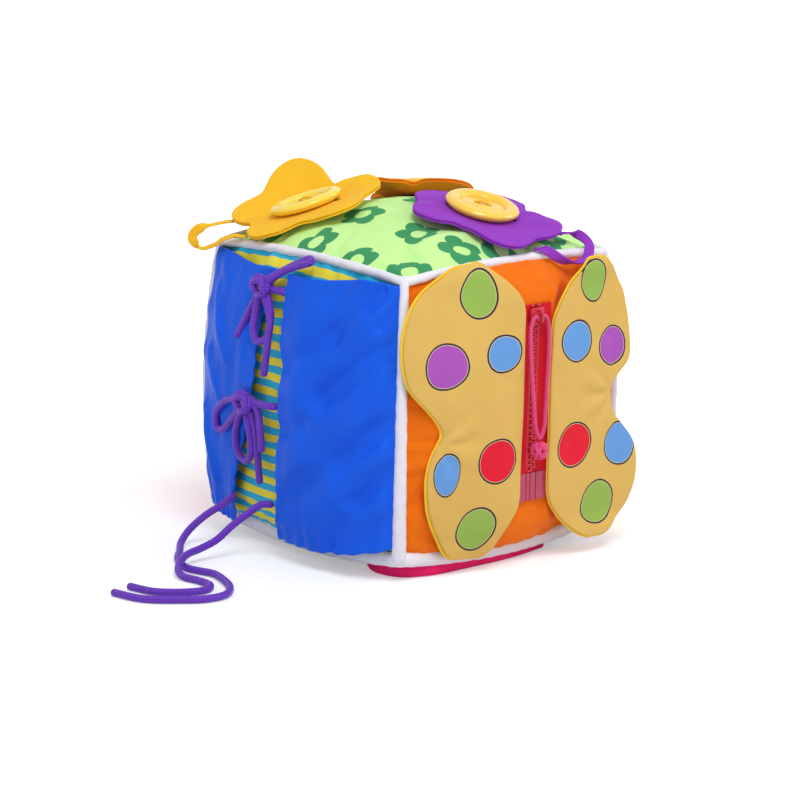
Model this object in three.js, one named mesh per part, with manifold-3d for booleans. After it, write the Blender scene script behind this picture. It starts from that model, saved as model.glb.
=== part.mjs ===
// A soft fabric block for a baby: a stuffed cloth cube with piped seams. One side has a zip between two
// padded wings, the next has two cloth curtains tied with cords, and the top has three buttoned flowers.
// Millimetres, +Z up. The origin is the middle of the flat patch that the block rests on.
// The zip side looks along -Y, and the side with the curtains looks along -X.
import * as THREE from "three";
import { mergeVertices } from "three/addons/utils/BufferGeometryUtils.js";
import Module from "manifold-3d";

const wasm = await Module();
wasm.setup();

// The stuffed cube
const EDGE = 146; // from corner to corner of one face
const SEAM_BOW = 4.5; // how far the middle of a seam stands out past its ends
const SEAM_LIFT = 12; // height of the bottom corners over the ground
const TOP_CROWN = 21; // swell of the top face over its seams
const SIDE_CROWN = 15.5; // swell of the other faces
const CLOTH = 1.2; // thickness of a panel with its lining
const GAP = 0.3; // clearance between pieces that touch
const PIPING_RADIUS = 2.4; // of the piping round the top and the bottom
const CORNER_RADIUS = 2.9; // of the piping up the corners
const STUFFING_INSET = 3.6; // how far the filling stays back from the seams
const CROWN_POWER = 2.4; // how box-like the swell of a face is, from 2, round, upwards

// The zip
const TAPE_LENGTH = 105;
const TAPE_WIDTH = 6.3; // of one tape, beside its teeth
const TAPE_THICKNESS = 0.8;
const ZIP_RAISE = 4; // of the zip's middle over the block's middle
const END_LENGTH = 15; // of the film, the pin and the box at the lower end
const FILM_THICKNESS = 0.35;
const TEETH_THICKNESS = 2.4;
const TOOTH_PITCH = 3.1;
const TOOTH_REACH = 1.3;
const TEETH_BEAD = 1.2; // width of the strip that carries the teeth
const TEETH_SLIT = 0.9; // half of the slit between the rows, where the slider's wedge runs
const SLIDER_LENGTH = 9;
const SLIDER_HALF_WIDTH = 4.7;
const SLIDER_CHAMFER = 1.4;
const SLIDER_PLATE = 1.2;
const SLIDER_FLANGE = 0.8;
const WEDGE_HALF_WIDTH = 0.5; // the wedge that joins the two plates of the slider
const WEDGE_LENGTH = 2.6;
const ARCH_HEIGHT = 4.2; // the arch on the slider that holds the pull cord
const ARCH_LENGTH = 6;
const ARCH_WIDTH = 2;
const ARCH_WALL = 1.1;
const SLOT_HALF_WIDTH = 5.2; // the slot in the cloth behind the zip
const STOP_LENGTH = 1.4;
const POCKET_WIDTH = 26;
const POCKET_DEPTH = 2.6;
const POCKET_WALL = 0.9;
const POCKET_SINK = 0.8; // of the pocket's mouth under the cloth
const FLAT_SHARE = 0.76; // share of the zip side's height that the tapes hold flat

// The cords
const CORD_RADIUS = 2;
const PULL_RADIUS = 1.15;
const PULL_LENGTH = 64; // from the slider down to the turn at the knot
const PULL_SPREAD = 4.2; // from the middle of the pull cord's loop to each strand
const PULL_KNOT_RADIUS = 5.2;
const BOW_KNOT_RADIUS = 6.5;

// The wings
const WING_HEIGHT = 158;
const WING_WIDTH = 79; // from the middle of the zip to the tip
const WING_RAISE = 1.7; // of the wing's middle over the block's middle
const WING_THICKNESS = 2.6;
const WING_RIM = 1.3; // thickness at the rim
const WING_LIFT = 1.6; // over the cloth, so that the wing clears the tape that it is sewn to

// The curtains
const CURTAIN_THICKNESS = 1;
const CURTAIN_SEAM_LIFT = 0.4; // over the cloth along the seam
const CURTAIN_LIFT = 1.2; // over the cloth elsewhere
const CURTAIN_FOLD = 1.6; // depth of the folds
const CURTAIN_FOLDS = 3; // how many of them there are across a curtain
const CURTAIN_FLARE = 4.5; // how far the lower hem stands off

// The flowers and buttons
const FLOWER_RADIUS = 40;
const FLOWER_WAIST = 28; // radius between two petals
const PETAL_POINT = 0.8; // higher values make the petals narrower
const CURL_SPREAD = 3; // higher values keep a curl to the middle of its petal
const CURL_GROWTH = 1.3; // higher values keep it to the petal's tip
const FLOWER_THICKNESS = 3;
const FLOWER_RIM = 1.6; // thickness at the rim
const FLOWER_LIFT = 0.5;
const PETALS = 5;
const BUTTONHOLE_HALF_LENGTH = 18;
const BUTTONHOLE_HALF_WIDTH = 2.4;
const BUTTON_RADIUS = 20;
const BUTTON_THICKNESS = 5.2;
const BUTTON_RIM = 5.5; // width of the thick rim round the dish
const BUTTON_DISH = 2.2; // depth of the dish
const BUTTON_HOLE_RADIUS = 1.6;
const BUTTON_HOLE_SPREAD = 3.4; // from the button's middle to each hole
const THREAD_RADIUS = 1.2;
const TETHER_WIDTH = 5.5;
const TETHER_THICKNESS = 1.1;
const TETHER_SAG = 1.3; // how far a tether hangs under its petal

// The strap under the zip side
const STRAP_LEFT = 66; // from the block's middle to its left end
const STRAP_RIGHT = 28; // from the block's middle to its right end
const STRAP_THICKNESS = 0.9;
const STRAP_FOLD = 5; // height of the fold at the seam
const STRAP_TUCK = 11; // how far its lower layer reaches back under the block

// Values that follow from those
const HALF = EDGE / 2;
const MIDDLE = SEAM_LIFT + HALF; // height of the block's middle
const REACH = HALF + SEAM_BOW; // from the block's middle to the middle of a seam
const ZIP_LEVEL = REACH + SIDE_CROWN; // from the block's middle to the flat part of the zip side
const PANEL_SHARE = 1 - PIPING_RADIUS / HALF; // where a panel ends beside the top or bottom piping
const UPRIGHT_SHARE = 1 - CORNER_RADIUS / HALF; // where it ends beside a corner piping
const TEETH_OUT = TEETH_SLIT + TOOTH_REACH + TEETH_BEAD;
const TEETH_LOW = GAP + TAPE_THICKNESS / 2 - TEETH_THICKNESS / 2; // heights over the cloth
const TEETH_HIGH = TEETH_LOW + TEETH_THICKNESS;
const TAPE_IN = TEETH_OUT + GAP;
const TAPE_OUT = TAPE_IN + TAPE_WIDTH;
const TAPE_BOTTOM = MIDDLE + ZIP_RAISE - TAPE_LENGTH / 2;
const TAPE_TOP = TAPE_BOTTOM + TAPE_LENGTH;
const CHAIN_BOTTOM = TAPE_BOTTOM + END_LENGTH + GAP;
const SLIDER_TOP = TAPE_TOP - STOP_LENGTH - GAP;
const SLIDER_MIDDLE = SLIDER_TOP - SLIDER_LENGTH / 2;
const POCKET_FRONT = -CLOTH - GAP - POCKET_SINK;
const POCKET_BACK = POCKET_FRONT - POCKET_DEPTH - POCKET_WALL;
const BUTTON_STANDOFF = FLOWER_LIFT + FLOWER_THICKNESS + GAP;
const FLOWER_MIDDLE = FLOWER_LIFT + FLOWER_THICKNESS / 2;

// The six faces: which way each looks, and its two directions, across and up
const FACES = {
  top: { out: [0, 0, 1], across: [1, 0, 0], up: [0, 1, 0], crown: TOP_CROWN },
  bottom: { out: [0, 0, -1], across: [1, 0, 0], up: [0, -1, 0], crown: SIDE_CROWN },
  zip: { out: [0, -1, 0], across: [1, 0, 0], up: [0, 0, 1], crown: SIDE_CROWN },
  striped: { out: [-1, 0, 0], across: [0, -1, 0], up: [0, 0, 1], crown: SIDE_CROWN },
  back: { out: [0, 1, 0], across: [-1, 0, 0], up: [0, 0, 1], crown: SIDE_CROWN },
  side: { out: [1, 0, 0], across: [0, 1, 0], up: [0, 0, 1], crown: SIDE_CROWN },
};

// Rises smoothly from 0 to 1 between two values
function ease(from, to, x) {
  const t = THREE.MathUtils.clamp((x - from) / (to - from), 0, 1);
  return t * t * (3 - 2 * t);
}

function mix(a, b, share) {
  return a + (b - a) * share;
}

// The value at a share of the way along a list of evenly spaced ones
function along(list, share) {
  const place = THREE.MathUtils.clamp(share, 0, 1) * (list.length - 1);
  const k = Math.min(Math.floor(place), list.length - 2);
  return mix(list[k], list[k + 1], place - k);
}

function swell(x) {
  return 1 - Math.abs(x) ** CROWN_POWER;
}

// The zip side is flat up its middle, and swells like the others towards its upright seams
function zipSwell(u, v) {
  const beyond = Math.max(0, Math.abs(v) - FLAT_SHARE) / (1 - FLAT_SHARE);
  const flat = 1 - beyond ** 2;
  return swell(u) * mix(flat, swell(v), ease(0.14, 0.55, Math.abs(u)));
}

// A point of a face at shares u across and v up, from -1 to 1. The filling is the same form, set back.
function skin(name, u, v, inset = 0) {
  const face = FACES[name];
  const half = HALF - inset;
  const crown = face.crown + Math.max(0, inset - CLOTH - GAP);
  const puff = crown * (name === "zip" ? zipSwell(u, v) : swell(u) * swell(v));
  return new THREE.Vector3(0, 0, MIDDLE)
    .addScaledVector(new THREE.Vector3(...face.across), u * (half + SEAM_BOW * (1 - v * v)))
    .addScaledVector(new THREE.Vector3(...face.up), v * (half + SEAM_BOW * (1 - u * u)))
    .addScaledVector(new THREE.Vector3(...face.out), half + SEAM_BOW * (1 - u * u * v * v) + puff);
}

function normalOf(surface, u, v) {
  const step = 1e-3;
  const across = surface(u + step, v).sub(surface(u - step, v));
  const up = surface(u, v + step).sub(surface(u, v - step));
  return across.cross(up).normalize();
}

// A point at a height over the cloth of a face. The ground flattens the bottom face.
function over(name, u, v, height) {
  const surface = (a, b) => skin(name, a, b);
  const point = surface(u, v).addScaledVector(normalOf(surface, u, v), height);
  if (name === "bottom") point.z = Math.max(point.z, -height);
  return point;
}

// The shares u and v of a face at distances across and up from its middle
function sharesAt(across, up) {
  let u = across / REACH;
  let v = up / REACH;
  for (let turn = 0; turn < 12; turn++) {
    u = across / (HALF + SEAM_BOW * (1 - Math.min(1, v * v)));
    v = up / (HALF + SEAM_BOW * (1 - Math.min(1, u * u)));
  }
  return [u, v];
}

// A point over a face at distances from its middle
function overAt(name, across, up, height) {
  return over(name, ...sharesAt(across, up), height);
}

// A body from its points and triangles, turned so that its faces look out
function bodyOf(positions, index) {
  const at = (i) => new THREE.Vector3().fromArray(positions, 3 * i);
  let volume = 0;
  for (let i = 0; i < index.length; i += 3) {
    volume += at(index[i]).dot(at(index[i + 1]).cross(at(index[i + 2])));
  }
  if (volume < 0) index.reverse();
  const geometry = new THREE.BufferGeometry();
  geometry.setAttribute("position", new THREE.Float32BufferAttribute(positions, 3));
  geometry.setIndex(index);
  return geometry;
}

// A closed body between two grids of points: point(i, j, side) takes shares from 0 to 1, and side 1 or -1.
// A ring is joined to itself along j.
function sheet(rows, columns, point, ring = false) {
  const positions = [];
  const index = [];
  const wide = ring ? columns : columns + 1;
  for (const side of [1, -1]) {
    for (let i = 0; i <= rows; i++) {
      for (let j = 0; j < wide; j++) positions.push(...point(i / rows, j / columns, side));
    }
  }
  const id = (i, j, side) => (side > 0 ? 0 : (rows + 1) * wide) + i * wide + (j % wide);
  const quad = (a, b, c, d) => index.push(a, b, c, a, c, d);
  for (let i = 0; i < rows; i++) {
    for (let j = 0; j < columns; j++) {
      quad(id(i, j, 1), id(i, j + 1, 1), id(i + 1, j + 1, 1), id(i + 1, j, 1));
      quad(id(i, j, -1), id(i + 1, j, -1), id(i + 1, j + 1, -1), id(i, j + 1, -1));
    }
  }
  for (let j = 0; j < columns; j++) {
    quad(id(0, j, -1), id(0, j + 1, -1), id(0, j + 1, 1), id(0, j, 1));
    quad(id(rows, j, 1), id(rows, j + 1, 1), id(rows, j + 1, -1), id(rows, j, -1));
  }
  for (let i = 0; i < rows && !ring; i++) {
    quad(id(i, 0, 1), id(i + 1, 0, 1), id(i + 1, 0, -1), id(i, 0, -1));
    quad(id(i, columns, -1), id(i + 1, columns, -1), id(i + 1, columns, 1), id(i, columns, 1));
  }
  return bodyOf(positions, index);
}

// Cloth of a changing thickness about its middle surface
function padded(rows, columns, middle, thickness, ring = false) {
  const point = (i, j, side) =>
    middle(i, j).addScaledVector(normalOf(middle, i, j), (side * thickness(i, j)) / 2);
  return sheet(rows, columns, point, ring);
}

// Only the places of the vertices, with shared ones merged
function bare(geometry) {
  const made = new THREE.BufferGeometry();
  made.setAttribute("position", geometry.getAttribute("position"));
  if (geometry.index) made.setIndex(geometry.index);
  return mergeVertices(made, 1e-4);
}

function solid(geometry) {
  const shape = bare(geometry);
  const mesh = new wasm.Mesh({
    numProp: 3,
    vertProperties: new Float32Array(shape.attributes.position.array),
    triVerts: new Uint32Array(shape.index.array),
  });
  return new wasm.Manifold(mesh);
}

function geometryOf(body) {
  const mesh = body.getMesh();
  const geometry = new THREE.BufferGeometry();
  geometry.setAttribute("position", new THREE.BufferAttribute(mesh.vertProperties, 3));
  geometry.setIndex(new THREE.BufferAttribute(mesh.triVerts, 1));
  return geometry;
}

function joined(pieces) {
  return geometryOf(pieces.map(solid).reduce((all, next) => all.add(next)));
}

function cut(geometry, tools) {
  return geometryOf(tools.map(solid).reduce((left, tool) => left.subtract(tool), solid(geometry)));
}

// A box on the zip side, between two x, two heights over the cloth and two z
function zipBox(left, right, low, high, bottom, top) {
  const box = new THREE.BoxGeometry(Math.abs(right - left), high - low, top - bottom);
  return box.translate((left + right) / 2, -ZIP_LEVEL - (low + high) / 2, (bottom + top) / 2);
}

// A plate on the zip side, from an outline in x and z
function zipPlate(outline, under, thickness) {
  const plate = new THREE.ExtrudeGeometry(outline, { depth: thickness, bevelEnabled: false });
  return plate.rotateX(Math.PI / 2).translate(0, -ZIP_LEVEL - under, 0);
}

// A round cord along a smooth curve through its points
function cord(points, radius, sides, steps) {
  const section = new THREE.Shape().absarc(0, 0, radius, 0, 2 * Math.PI);
  return new THREE.ExtrudeGeometry(section, {
    steps,
    curveSegments: sides / 2,
    extrudePath: new THREE.CatmullRomCurve3(points, false, "centripetal"),
    bevelEnabled: false,
  });
}

// A round cord that closes on itself round an upright axis
function hoop(points, radius, sides) {
  const positions = [];
  const index = [];
  const count = points.length;
  points.forEach((place, i) => {
    const ahead = points[(i + 1) % count];
    const behind = points[(i + count - 1) % count];
    const forward = ahead.clone().sub(behind).normalize();
    const up = new THREE.Vector3(0, 0, 1).addScaledVector(forward, -forward.z).normalize();
    const across = forward.clone().cross(up);
    const next = ((i + 1) % count) * sides;
    for (let k = 0; k < sides; k++) {
      const turn = (2 * Math.PI * k) / sides;
      const ring = place.clone().addScaledVector(up, radius * Math.cos(turn));
      positions.push(...ring.addScaledVector(across, radius * Math.sin(turn)));
      const side = (k + 1) % sides;
      index.push(i * sides + k, next + k, next + side, i * sides + k, next + side, i * sides + side);
    }
  });
  return bodyOf(positions, index);
}

const softBlock = new THREE.Group();

function add(name, geometry, color, roughness = 0.85) {
  const mesh = new THREE.Mesh(geometry, new THREE.MeshStandardMaterial({ color, roughness }));
  mesh.name = name;
  softBlock.add(mesh);
}

// Filling, panels and piping
const PANEL_GRID = 8; // squares along each side of a panel
const ZIP_PANEL_GRID = 12;

function stuffing() {
  const grid = PANEL_GRID;
  const positions = [];
  const point = (name, i, j) => {
    const place = skin(name, (2 * i) / grid - 1, (2 * j) / grid - 1, STUFFING_INSET);
    place.z = Math.max(place.z, CLOTH + GAP);
    return place;
  };
  for (const name of Object.keys(FACES)) {
    for (let i = 0; i < grid; i++) {
      for (let j = 0; j < grid; j++) {
        const [a, b] = [point(name, i, j), point(name, i + 1, j)];
        const [c, d] = [point(name, i + 1, j + 1), point(name, i, j + 1)];
        positions.push(...a, ...b, ...c, ...a, ...c, ...d);
      }
    }
  }
  const skinned = new THREE.BufferGeometry();
  skinned.setAttribute("position", new THREE.Float32BufferAttribute(positions, 3));
  const wide = POCKET_WIDTH / 2 + GAP;
  const long = pocketHalf() + GAP;
  const middle = MIDDLE + ZIP_RAISE;
  const recess = zipBox(-wide, wide, POCKET_BACK - GAP, SIDE_CROWN, middle - long, middle + long);
  return cut(skinned, [recess]);
}

function panel(name, grid = PANEL_GRID) {
  const wide = name === "top" || name === "bottom" ? PANEL_SHARE : UPRIGHT_SHARE;
  return sheet(grid, grid, (i, j, side) =>
    over(name, (2 * i - 1) * wide, (2 * j - 1) * PANEL_SHARE, side > 0 ? 0 : -CLOTH),
  );
}

function zipPanel() {
  const bottom = CHAIN_BOTTOM - CLOTH;
  const top = SLIDER_TOP + GAP;
  const slot = zipBox(-SLOT_HALF_WIDTH, SLOT_HALF_WIDTH, -SIDE_CROWN / 2, SIDE_CROWN / 2, bottom, top);
  return cut(panel("zip", ZIP_PANEL_GRID), [slot]);
}

// The seam round the top or the bottom, level 1 or -1, with its corners cut a little short
function seamLoop(level) {
  const places = [];
  const cornerShare = 0.975;
  const perEdge = 9;
  for (let edge = 0; edge < 4; edge++) {
    for (let k = 0; k <= perEdge; k++) {
      const u = ((2 * k) / perEdge - 1) * cornerShare;
      const out = HALF + SEAM_BOW * (1 - u * u);
      const place = new THREE.Vector3(u * HALF, -out, level * out);
      place.applyAxisAngle(new THREE.Vector3(0, 0, 1), (edge * Math.PI) / 2);
      places.push(place.setZ(MIDDLE + place.z));
    }
  }
  return places;
}

function cornerPiping(alongX, alongY) {
  const endShare = 1 - (PIPING_RADIUS + GAP) / HALF;
  const places = [];
  for (const share of [-1, -0.75, -0.4, 0, 0.4, 0.75, 1]) {
    const v = share * endShare;
    const out = HALF + SEAM_BOW * (1 - v * v);
    places.push(new THREE.Vector3(alongX * out, alongY * out, MIDDLE + v * HALF));
  }
  return cord(places, CORNER_RADIUS, 8, 12);
}

const WHITE = 0xf2f0fa;
add("stuffing", stuffing(), 0xffffff);
add("top_panel", panel("top"), 0xbdf58e);
add("bottom_panel", panel("bottom"), WHITE);
add("zip_panel", zipPanel(), 0xff7a00);
add("striped_panel", panel("striped"), 0xe8d840);
add("back_panel", panel("back"), 0xe0186a);
add("side_panel", panel("side"), 0xffc830);
add("top_piping", hoop(seamLoop(1), PIPING_RADIUS, 6), WHITE);
add("bottom_piping", hoop(seamLoop(-1), PIPING_RADIUS, 6), WHITE);
add("corner_piping_front", cornerPiping(-1, -1), WHITE);
add("corner_piping_left", cornerPiping(-1, 1), WHITE);
add("corner_piping_right", cornerPiping(1, -1), WHITE);
add("corner_piping_back", cornerPiping(1, 1), WHITE);

// The zip and its pocket
function pocketHalf() {
  return TAPE_LENGTH / 2;
}

function zipPocket() {
  const wide = POCKET_WIDTH / 2;
  const long = pocketHalf();
  const middle = MIDDLE + ZIP_RAISE;
  const pouch = zipBox(-wide, wide, POCKET_BACK, POCKET_FRONT, middle - long, middle + long);
  const inWide = wide - POCKET_WALL;
  const inLong = long - POCKET_WALL;
  const floor = POCKET_BACK + POCKET_WALL;
  return cut(pouch, [zipBox(-inWide, inWide, floor, 0, middle - inLong, middle + inLong)]);
}

function zipTape(side) {
  return zipBox(side * TAPE_IN, side * TAPE_OUT, GAP, GAP + TAPE_THICKNESS, TAPE_BOTTOM, TAPE_TOP);
}

// One row of teeth on its bead, as a comb
function zipTeeth(side) {
  const bead = side * TEETH_OUT;
  const root = side * (TEETH_SLIT + TOOTH_REACH);
  const tip = side * TEETH_SLIT;
  const count = Math.floor((SLIDER_TOP - CHAIN_BOTTOM) / TOOTH_PITCH);
  const comb = new THREE.Shape();
  comb.moveTo(bead, CHAIN_BOTTOM);
  comb.lineTo(root, CHAIN_BOTTOM);
  for (let k = 0; k < count; k++) {
    const foot = CHAIN_BOTTOM + (k + 0.1) * TOOTH_PITCH;
    comb.lineTo(root, foot);
    comb.lineTo(tip, foot + TOOTH_PITCH * 0.15);
    comb.lineTo(tip, foot + TOOTH_PITCH * 0.45);
    comb.lineTo(root, foot + TOOTH_PITCH * 0.6);
  }
  comb.lineTo(root, SLIDER_TOP);
  comb.lineTo(bead, SLIDER_TOP);
  comb.closePath();
  return zipPlate(comb, TEETH_LOW, TEETH_THICKNESS);
}

// Two plates with flanges, joined by a wedge at the upper end, with an arch for the pull cord in front
function zipSlider() {
  const low = SLIDER_TOP - SLIDER_LENGTH;
  const wide = SLIDER_HALF_WIDTH;
  const outline = new THREE.Shape();
  outline.moveTo(-wide, SLIDER_TOP - SLIDER_CHAMFER);
  outline.lineTo(-wide, low + SLIDER_CHAMFER / 2);
  outline.lineTo(-wide + SLIDER_CHAMFER, low);
  outline.lineTo(wide - SLIDER_CHAMFER, low);
  outline.lineTo(wide, low + SLIDER_CHAMFER / 2);
  outline.lineTo(wide, SLIDER_TOP - SLIDER_CHAMFER);
  outline.lineTo(wide - SLIDER_CHAMFER, SLIDER_TOP);
  outline.lineTo(-wide + SLIDER_CHAMFER, SLIDER_TOP);
  outline.closePath();
  const back = TEETH_LOW - GAP;
  const front = TEETH_HIGH + GAP;
  const into = SLIDER_PLATE / 2;
  const face = front + SLIDER_PLATE;
  const pieces = [back - SLIDER_PLATE, front].map((under) => zipPlate(outline, under, SLIDER_PLATE));
  for (const side of [-1, 1]) {
    const inner = side * (wide - SLIDER_FLANGE);
    const flangeLow = low + SLIDER_CHAMFER;
    const flangeTop = SLIDER_TOP - SLIDER_CHAMFER;
    const tapeTop = GAP + TAPE_THICKNESS + GAP;
    pieces.push(zipBox(inner, side * wide, back - into, 0, flangeLow, flangeTop));
    pieces.push(zipBox(inner, side * wide, tapeTop, front + into, flangeLow, flangeTop));
  }
  const wedge = WEDGE_HALF_WIDTH;
  pieces.push(zipBox(-wedge, wedge, back - into, front + into, SLIDER_TOP - WEDGE_LENGTH, SLIDER_TOP));
  const [archHalf, post] = [ARCH_WIDTH / 2, ARCH_LENGTH / 2];
  const [archLow, archHigh] = [SLIDER_MIDDLE - post, SLIDER_MIDDLE + post];
  const crest = face + ARCH_HEIGHT;
  pieces.push(zipBox(-archHalf, archHalf, front + into, crest, archLow, archLow + ARCH_WALL));
  pieces.push(zipBox(-archHalf, archHalf, front + into, crest, archHigh - ARCH_WALL, archHigh));
  pieces.push(zipBox(-archHalf, archHalf, crest - ARCH_WALL, crest, archLow, archHigh));
  return joined(pieces);
}

function topStop(side) {
  const [inner, outer] = [side * TEETH_SLIT, side * TEETH_OUT];
  return zipBox(inner, outer, GAP, TEETH_HIGH, SLIDER_TOP + GAP, TAPE_TOP);
}

function endFilm(side) {
  const under = GAP + TAPE_THICKNESS + GAP;
  const top = TAPE_BOTTOM + END_LENGTH;
  return zipBox(side * TAPE_IN, side * TAPE_OUT, under, under + FILM_THICKNESS, TAPE_BOTTOM, top);
}

const SLIDER_FACE = TEETH_HIGH + GAP + SLIDER_PLATE; // height of the slider's front over the cloth
const PULL_HEIGHT = SLIDER_FACE + PULL_RADIUS + GAP;
const PULL_KNOT_HEIGHT = TEETH_HIGH + GAP + PULL_KNOT_RADIUS;

// The pull cord leaves the arch on the left, turns at the knot and comes back to the arch from the right
function pullCord() {
  const shares = [
    [0.08, 0],
    [0.6, 0],
    [0.95, 0.07],
    [1, 0.25],
    [0.8, 0.55],
    [0.6, 0.8],
    [0.45, 0.92],
  ];
  const strand = (side) =>
    shares.map(([out, down]) => {
      const height = mix(PULL_HEIGHT, PULL_KNOT_HEIGHT, down);
      const x = side * (out * PULL_SPREAD);
      return new THREE.Vector3(x, -ZIP_LEVEL - height, SLIDER_MIDDLE - down * PULL_LENGTH);
    });
  const low = new THREE.Vector3(0, -ZIP_LEVEL - PULL_KNOT_HEIGHT, SLIDER_MIDDLE - PULL_LENGTH);
  return cord([...strand(-1), low, ...strand(1).reverse()], PULL_RADIUS, 6, 40);
}

function pullKnot() {
  const ball = new THREE.SphereGeometry(PULL_KNOT_RADIUS, 12, 8);
  const drop = PULL_LENGTH + PULL_RADIUS + GAP + PULL_KNOT_RADIUS;
  return ball.translate(0, -ZIP_LEVEL - PULL_KNOT_HEIGHT, SLIDER_MIDDLE - drop);
}

const RED = 0xc8001a;
add("zip_pocket", zipPocket(), 0xff8a30);
add("zip_tape_left", zipTape(-1), RED);
add("zip_tape_right", zipTape(1), RED);
add("zip_teeth_left", zipTeeth(-1), 0xd0304a, 0.45);
add("zip_teeth_right", zipTeeth(1), 0xd0304a, 0.45);
add("zip_slider", zipSlider(), RED, 0.4);
add("zip_top_stop_left", topStop(-1), RED, 0.45);
add("zip_top_stop_right", topStop(1), RED, 0.45);
add("zip_end_film_left", endFilm(-1), 0xe0507a, 0.3);
add("zip_end_film_right", endFilm(1), 0xe0507a, 0.3);
const endTop = TAPE_BOTTOM + END_LENGTH;
add("zip_pin", zipBox(-TEETH_OUT, -TEETH_SLIT, GAP, TEETH_HIGH, TAPE_BOTTOM, endTop), 0xe0507a, 0.3);
add("zip_box", zipBox(-TEETH_SLIT + GAP, TEETH_OUT, GAP, TEETH_HIGH, TAPE_BOTTOM, endTop), 0xe0507a, 0.3);
add("pull_cord", pullCord(), 0xff4e94);
add("pull_knot", pullKnot(), 0xff4e94);

// The wings. Each row is a share of the half height, and the inner and outer shares of the width.
// The left wing is tucked in at its waist, which makes its lower half narrower.
const WING_ROW_SHARES = {
  left: [
    [0.95, 0.35, 0.53], [0.935, 0.3, 0.6], [0.89, 0.235, 0.71], [0.83, 0.165, 0.83], [0.76, 0.125, 0.91],
    [0.68, 0.11, 0.955], [0.56, 0.11, 0.99], [0.44, 0.11, 1], [0.33, 0.11, 0.99], [0.22, 0.11, 0.96],
    [0.14, 0.11, 0.9], [0.07, 0.11, 0.835], [0, 0.11, 0.775], [-0.08, 0.112, 0.73],
    [-0.15, 0.115, 0.75], [-0.23, 0.117, 0.79], [-0.35, 0.118, 0.82], [-0.46, 0.12, 0.82],
    [-0.58, 0.12, 0.8], [-0.66, 0.135, 0.77], [-0.73, 0.172, 0.735], [-0.8, 0.213, 0.69],
    [-0.88, 0.25, 0.64], [-0.93, 0.29, 0.59], [-0.955, 0.35, 0.52],
  ],
  right: [
    [1, 0.41, 0.48], [0.97, 0.33, 0.57], [0.91, 0.26, 0.64], [0.83, 0.185, 0.7], [0.76, 0.145, 0.745],
    [0.68, 0.12, 0.785], [0.56, 0.112, 0.835], [0.44, 0.112, 0.873], [0.33, 0.112, 0.893],
    [0.22, 0.112, 0.885], [0.14, 0.112, 0.815], [0.07, 0.112, 0.75], [0, 0.112, 0.725],
    [-0.08, 0.112, 0.745], [-0.15, 0.115, 0.785], [-0.23, 0.117, 0.85], [-0.35, 0.118, 0.95],
    [-0.46, 0.12, 0.99], [-0.58, 0.125, 1], [-0.66, 0.15, 0.985], [-0.73, 0.2, 0.96], [-0.8, 0.272, 0.915],
    [-0.88, 0.38, 0.845], [-0.94, 0.48, 0.765], [-0.975, 0.57, 0.68],
  ],
};

// A wing lies on the swell of the zip side, or stands off it towards a flat plane by a share
function wing(rows, side, standShare) {
  const columns = [0, 1, 2].map((k) => rows.map((row) => row[k]));
  const middle = (i, j) => {
    const z = WING_RAISE + (along(columns[0], i) * WING_HEIGHT) / 2;
    const x = side * mix(along(columns[1], i), along(columns[2], i), j) * WING_WIDTH;
    const seamLift = PIPING_RADIUS * ease(0.78, 0.96, Math.max(Math.abs(x), Math.abs(z)) / REACH);
    const height = WING_LIFT + WING_THICKNESS / 2 + seamLift;
    const standing = new THREE.Vector3(x, -ZIP_LEVEL - height, MIDDLE + z);
    return overAt("zip", x, z, height).lerp(standing, standShare);
  };
  const thickness = (i, j) => {
    const inward = Math.min(1, 6 * Math.min(i, 1 - i, j, 1 - j));
    return mix(WING_RIM, WING_THICKNESS, inward);
  };
  return padded(rows.length - 1, 6, middle, thickness);
}

add("left_wing", wing(WING_ROW_SHARES.left, -1, 0.05), 0xe0b860);
add("right_wing", wing(WING_ROW_SHARES.right, 1, 0.8), 0xe0b860);

// The curtains: where each starts at its upright seam, its free edge from the lower hem up, as shares of
// the half width, its upper hem at the free edge, and how its folds run
const CURTAINS = {
  right: {
    seamShare: 0.953,
    freeShares: [-0.13, -0.12, -0.05, 0.01, 0.02, 0.02],
    topShare: 0.85,
    foldShare: 0.9,
  },
  left: {
    seamShare: -0.953,
    freeShares: [-0.57, -0.46, -0.33, -0.22, -0.15, -0.05],
    topShare: 0.87,
    foldShare: -0.7,
  },
};
const HEM_SHARE = -0.93; // of the lower hem, at the height of the bottom seam
const SEAM_TOP_SHARE = 0.965; // of the upper hem where it meets the upright seam

function curtain({ seamShare, freeShares, topShare, foldShare }) {
  const middle = (i, j) => {
    const u = mix(seamShare, along(freeShares, i), j);
    const v = mix(HEM_SHARE, mix(SEAM_TOP_SHARE, topShare, ease(0, 0.8, j)), i);
    const lift = mix(CURTAIN_SEAM_LIFT, CURTAIN_LIFT, ease(0, 0.3, j));
    const wave = Math.sin(Math.PI * (CURTAIN_FOLDS * j + 2 * foldShare * i)) ** 2;
    const fold = CURTAIN_FOLD * wave * ease(0, 0.35, j) * ease(0, 0.3, 1 - j + 0.1);
    const flare = CURTAIN_FLARE * (1 - i) ** 2 * ease(0.05, 0.5, j);
    return over("striped", u, v, lift + CURTAIN_THICKNESS / 2 + fold + flare);
  };
  return padded(12, 10, middle, () => CURTAIN_THICKNESS);
}

add("right_curtain", curtain(CURTAINS.right), 0x1f5fd8, 0.55);
add("left_curtain", curtain(CURTAINS.left), 0x1f5fd8, 0.55);

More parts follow.
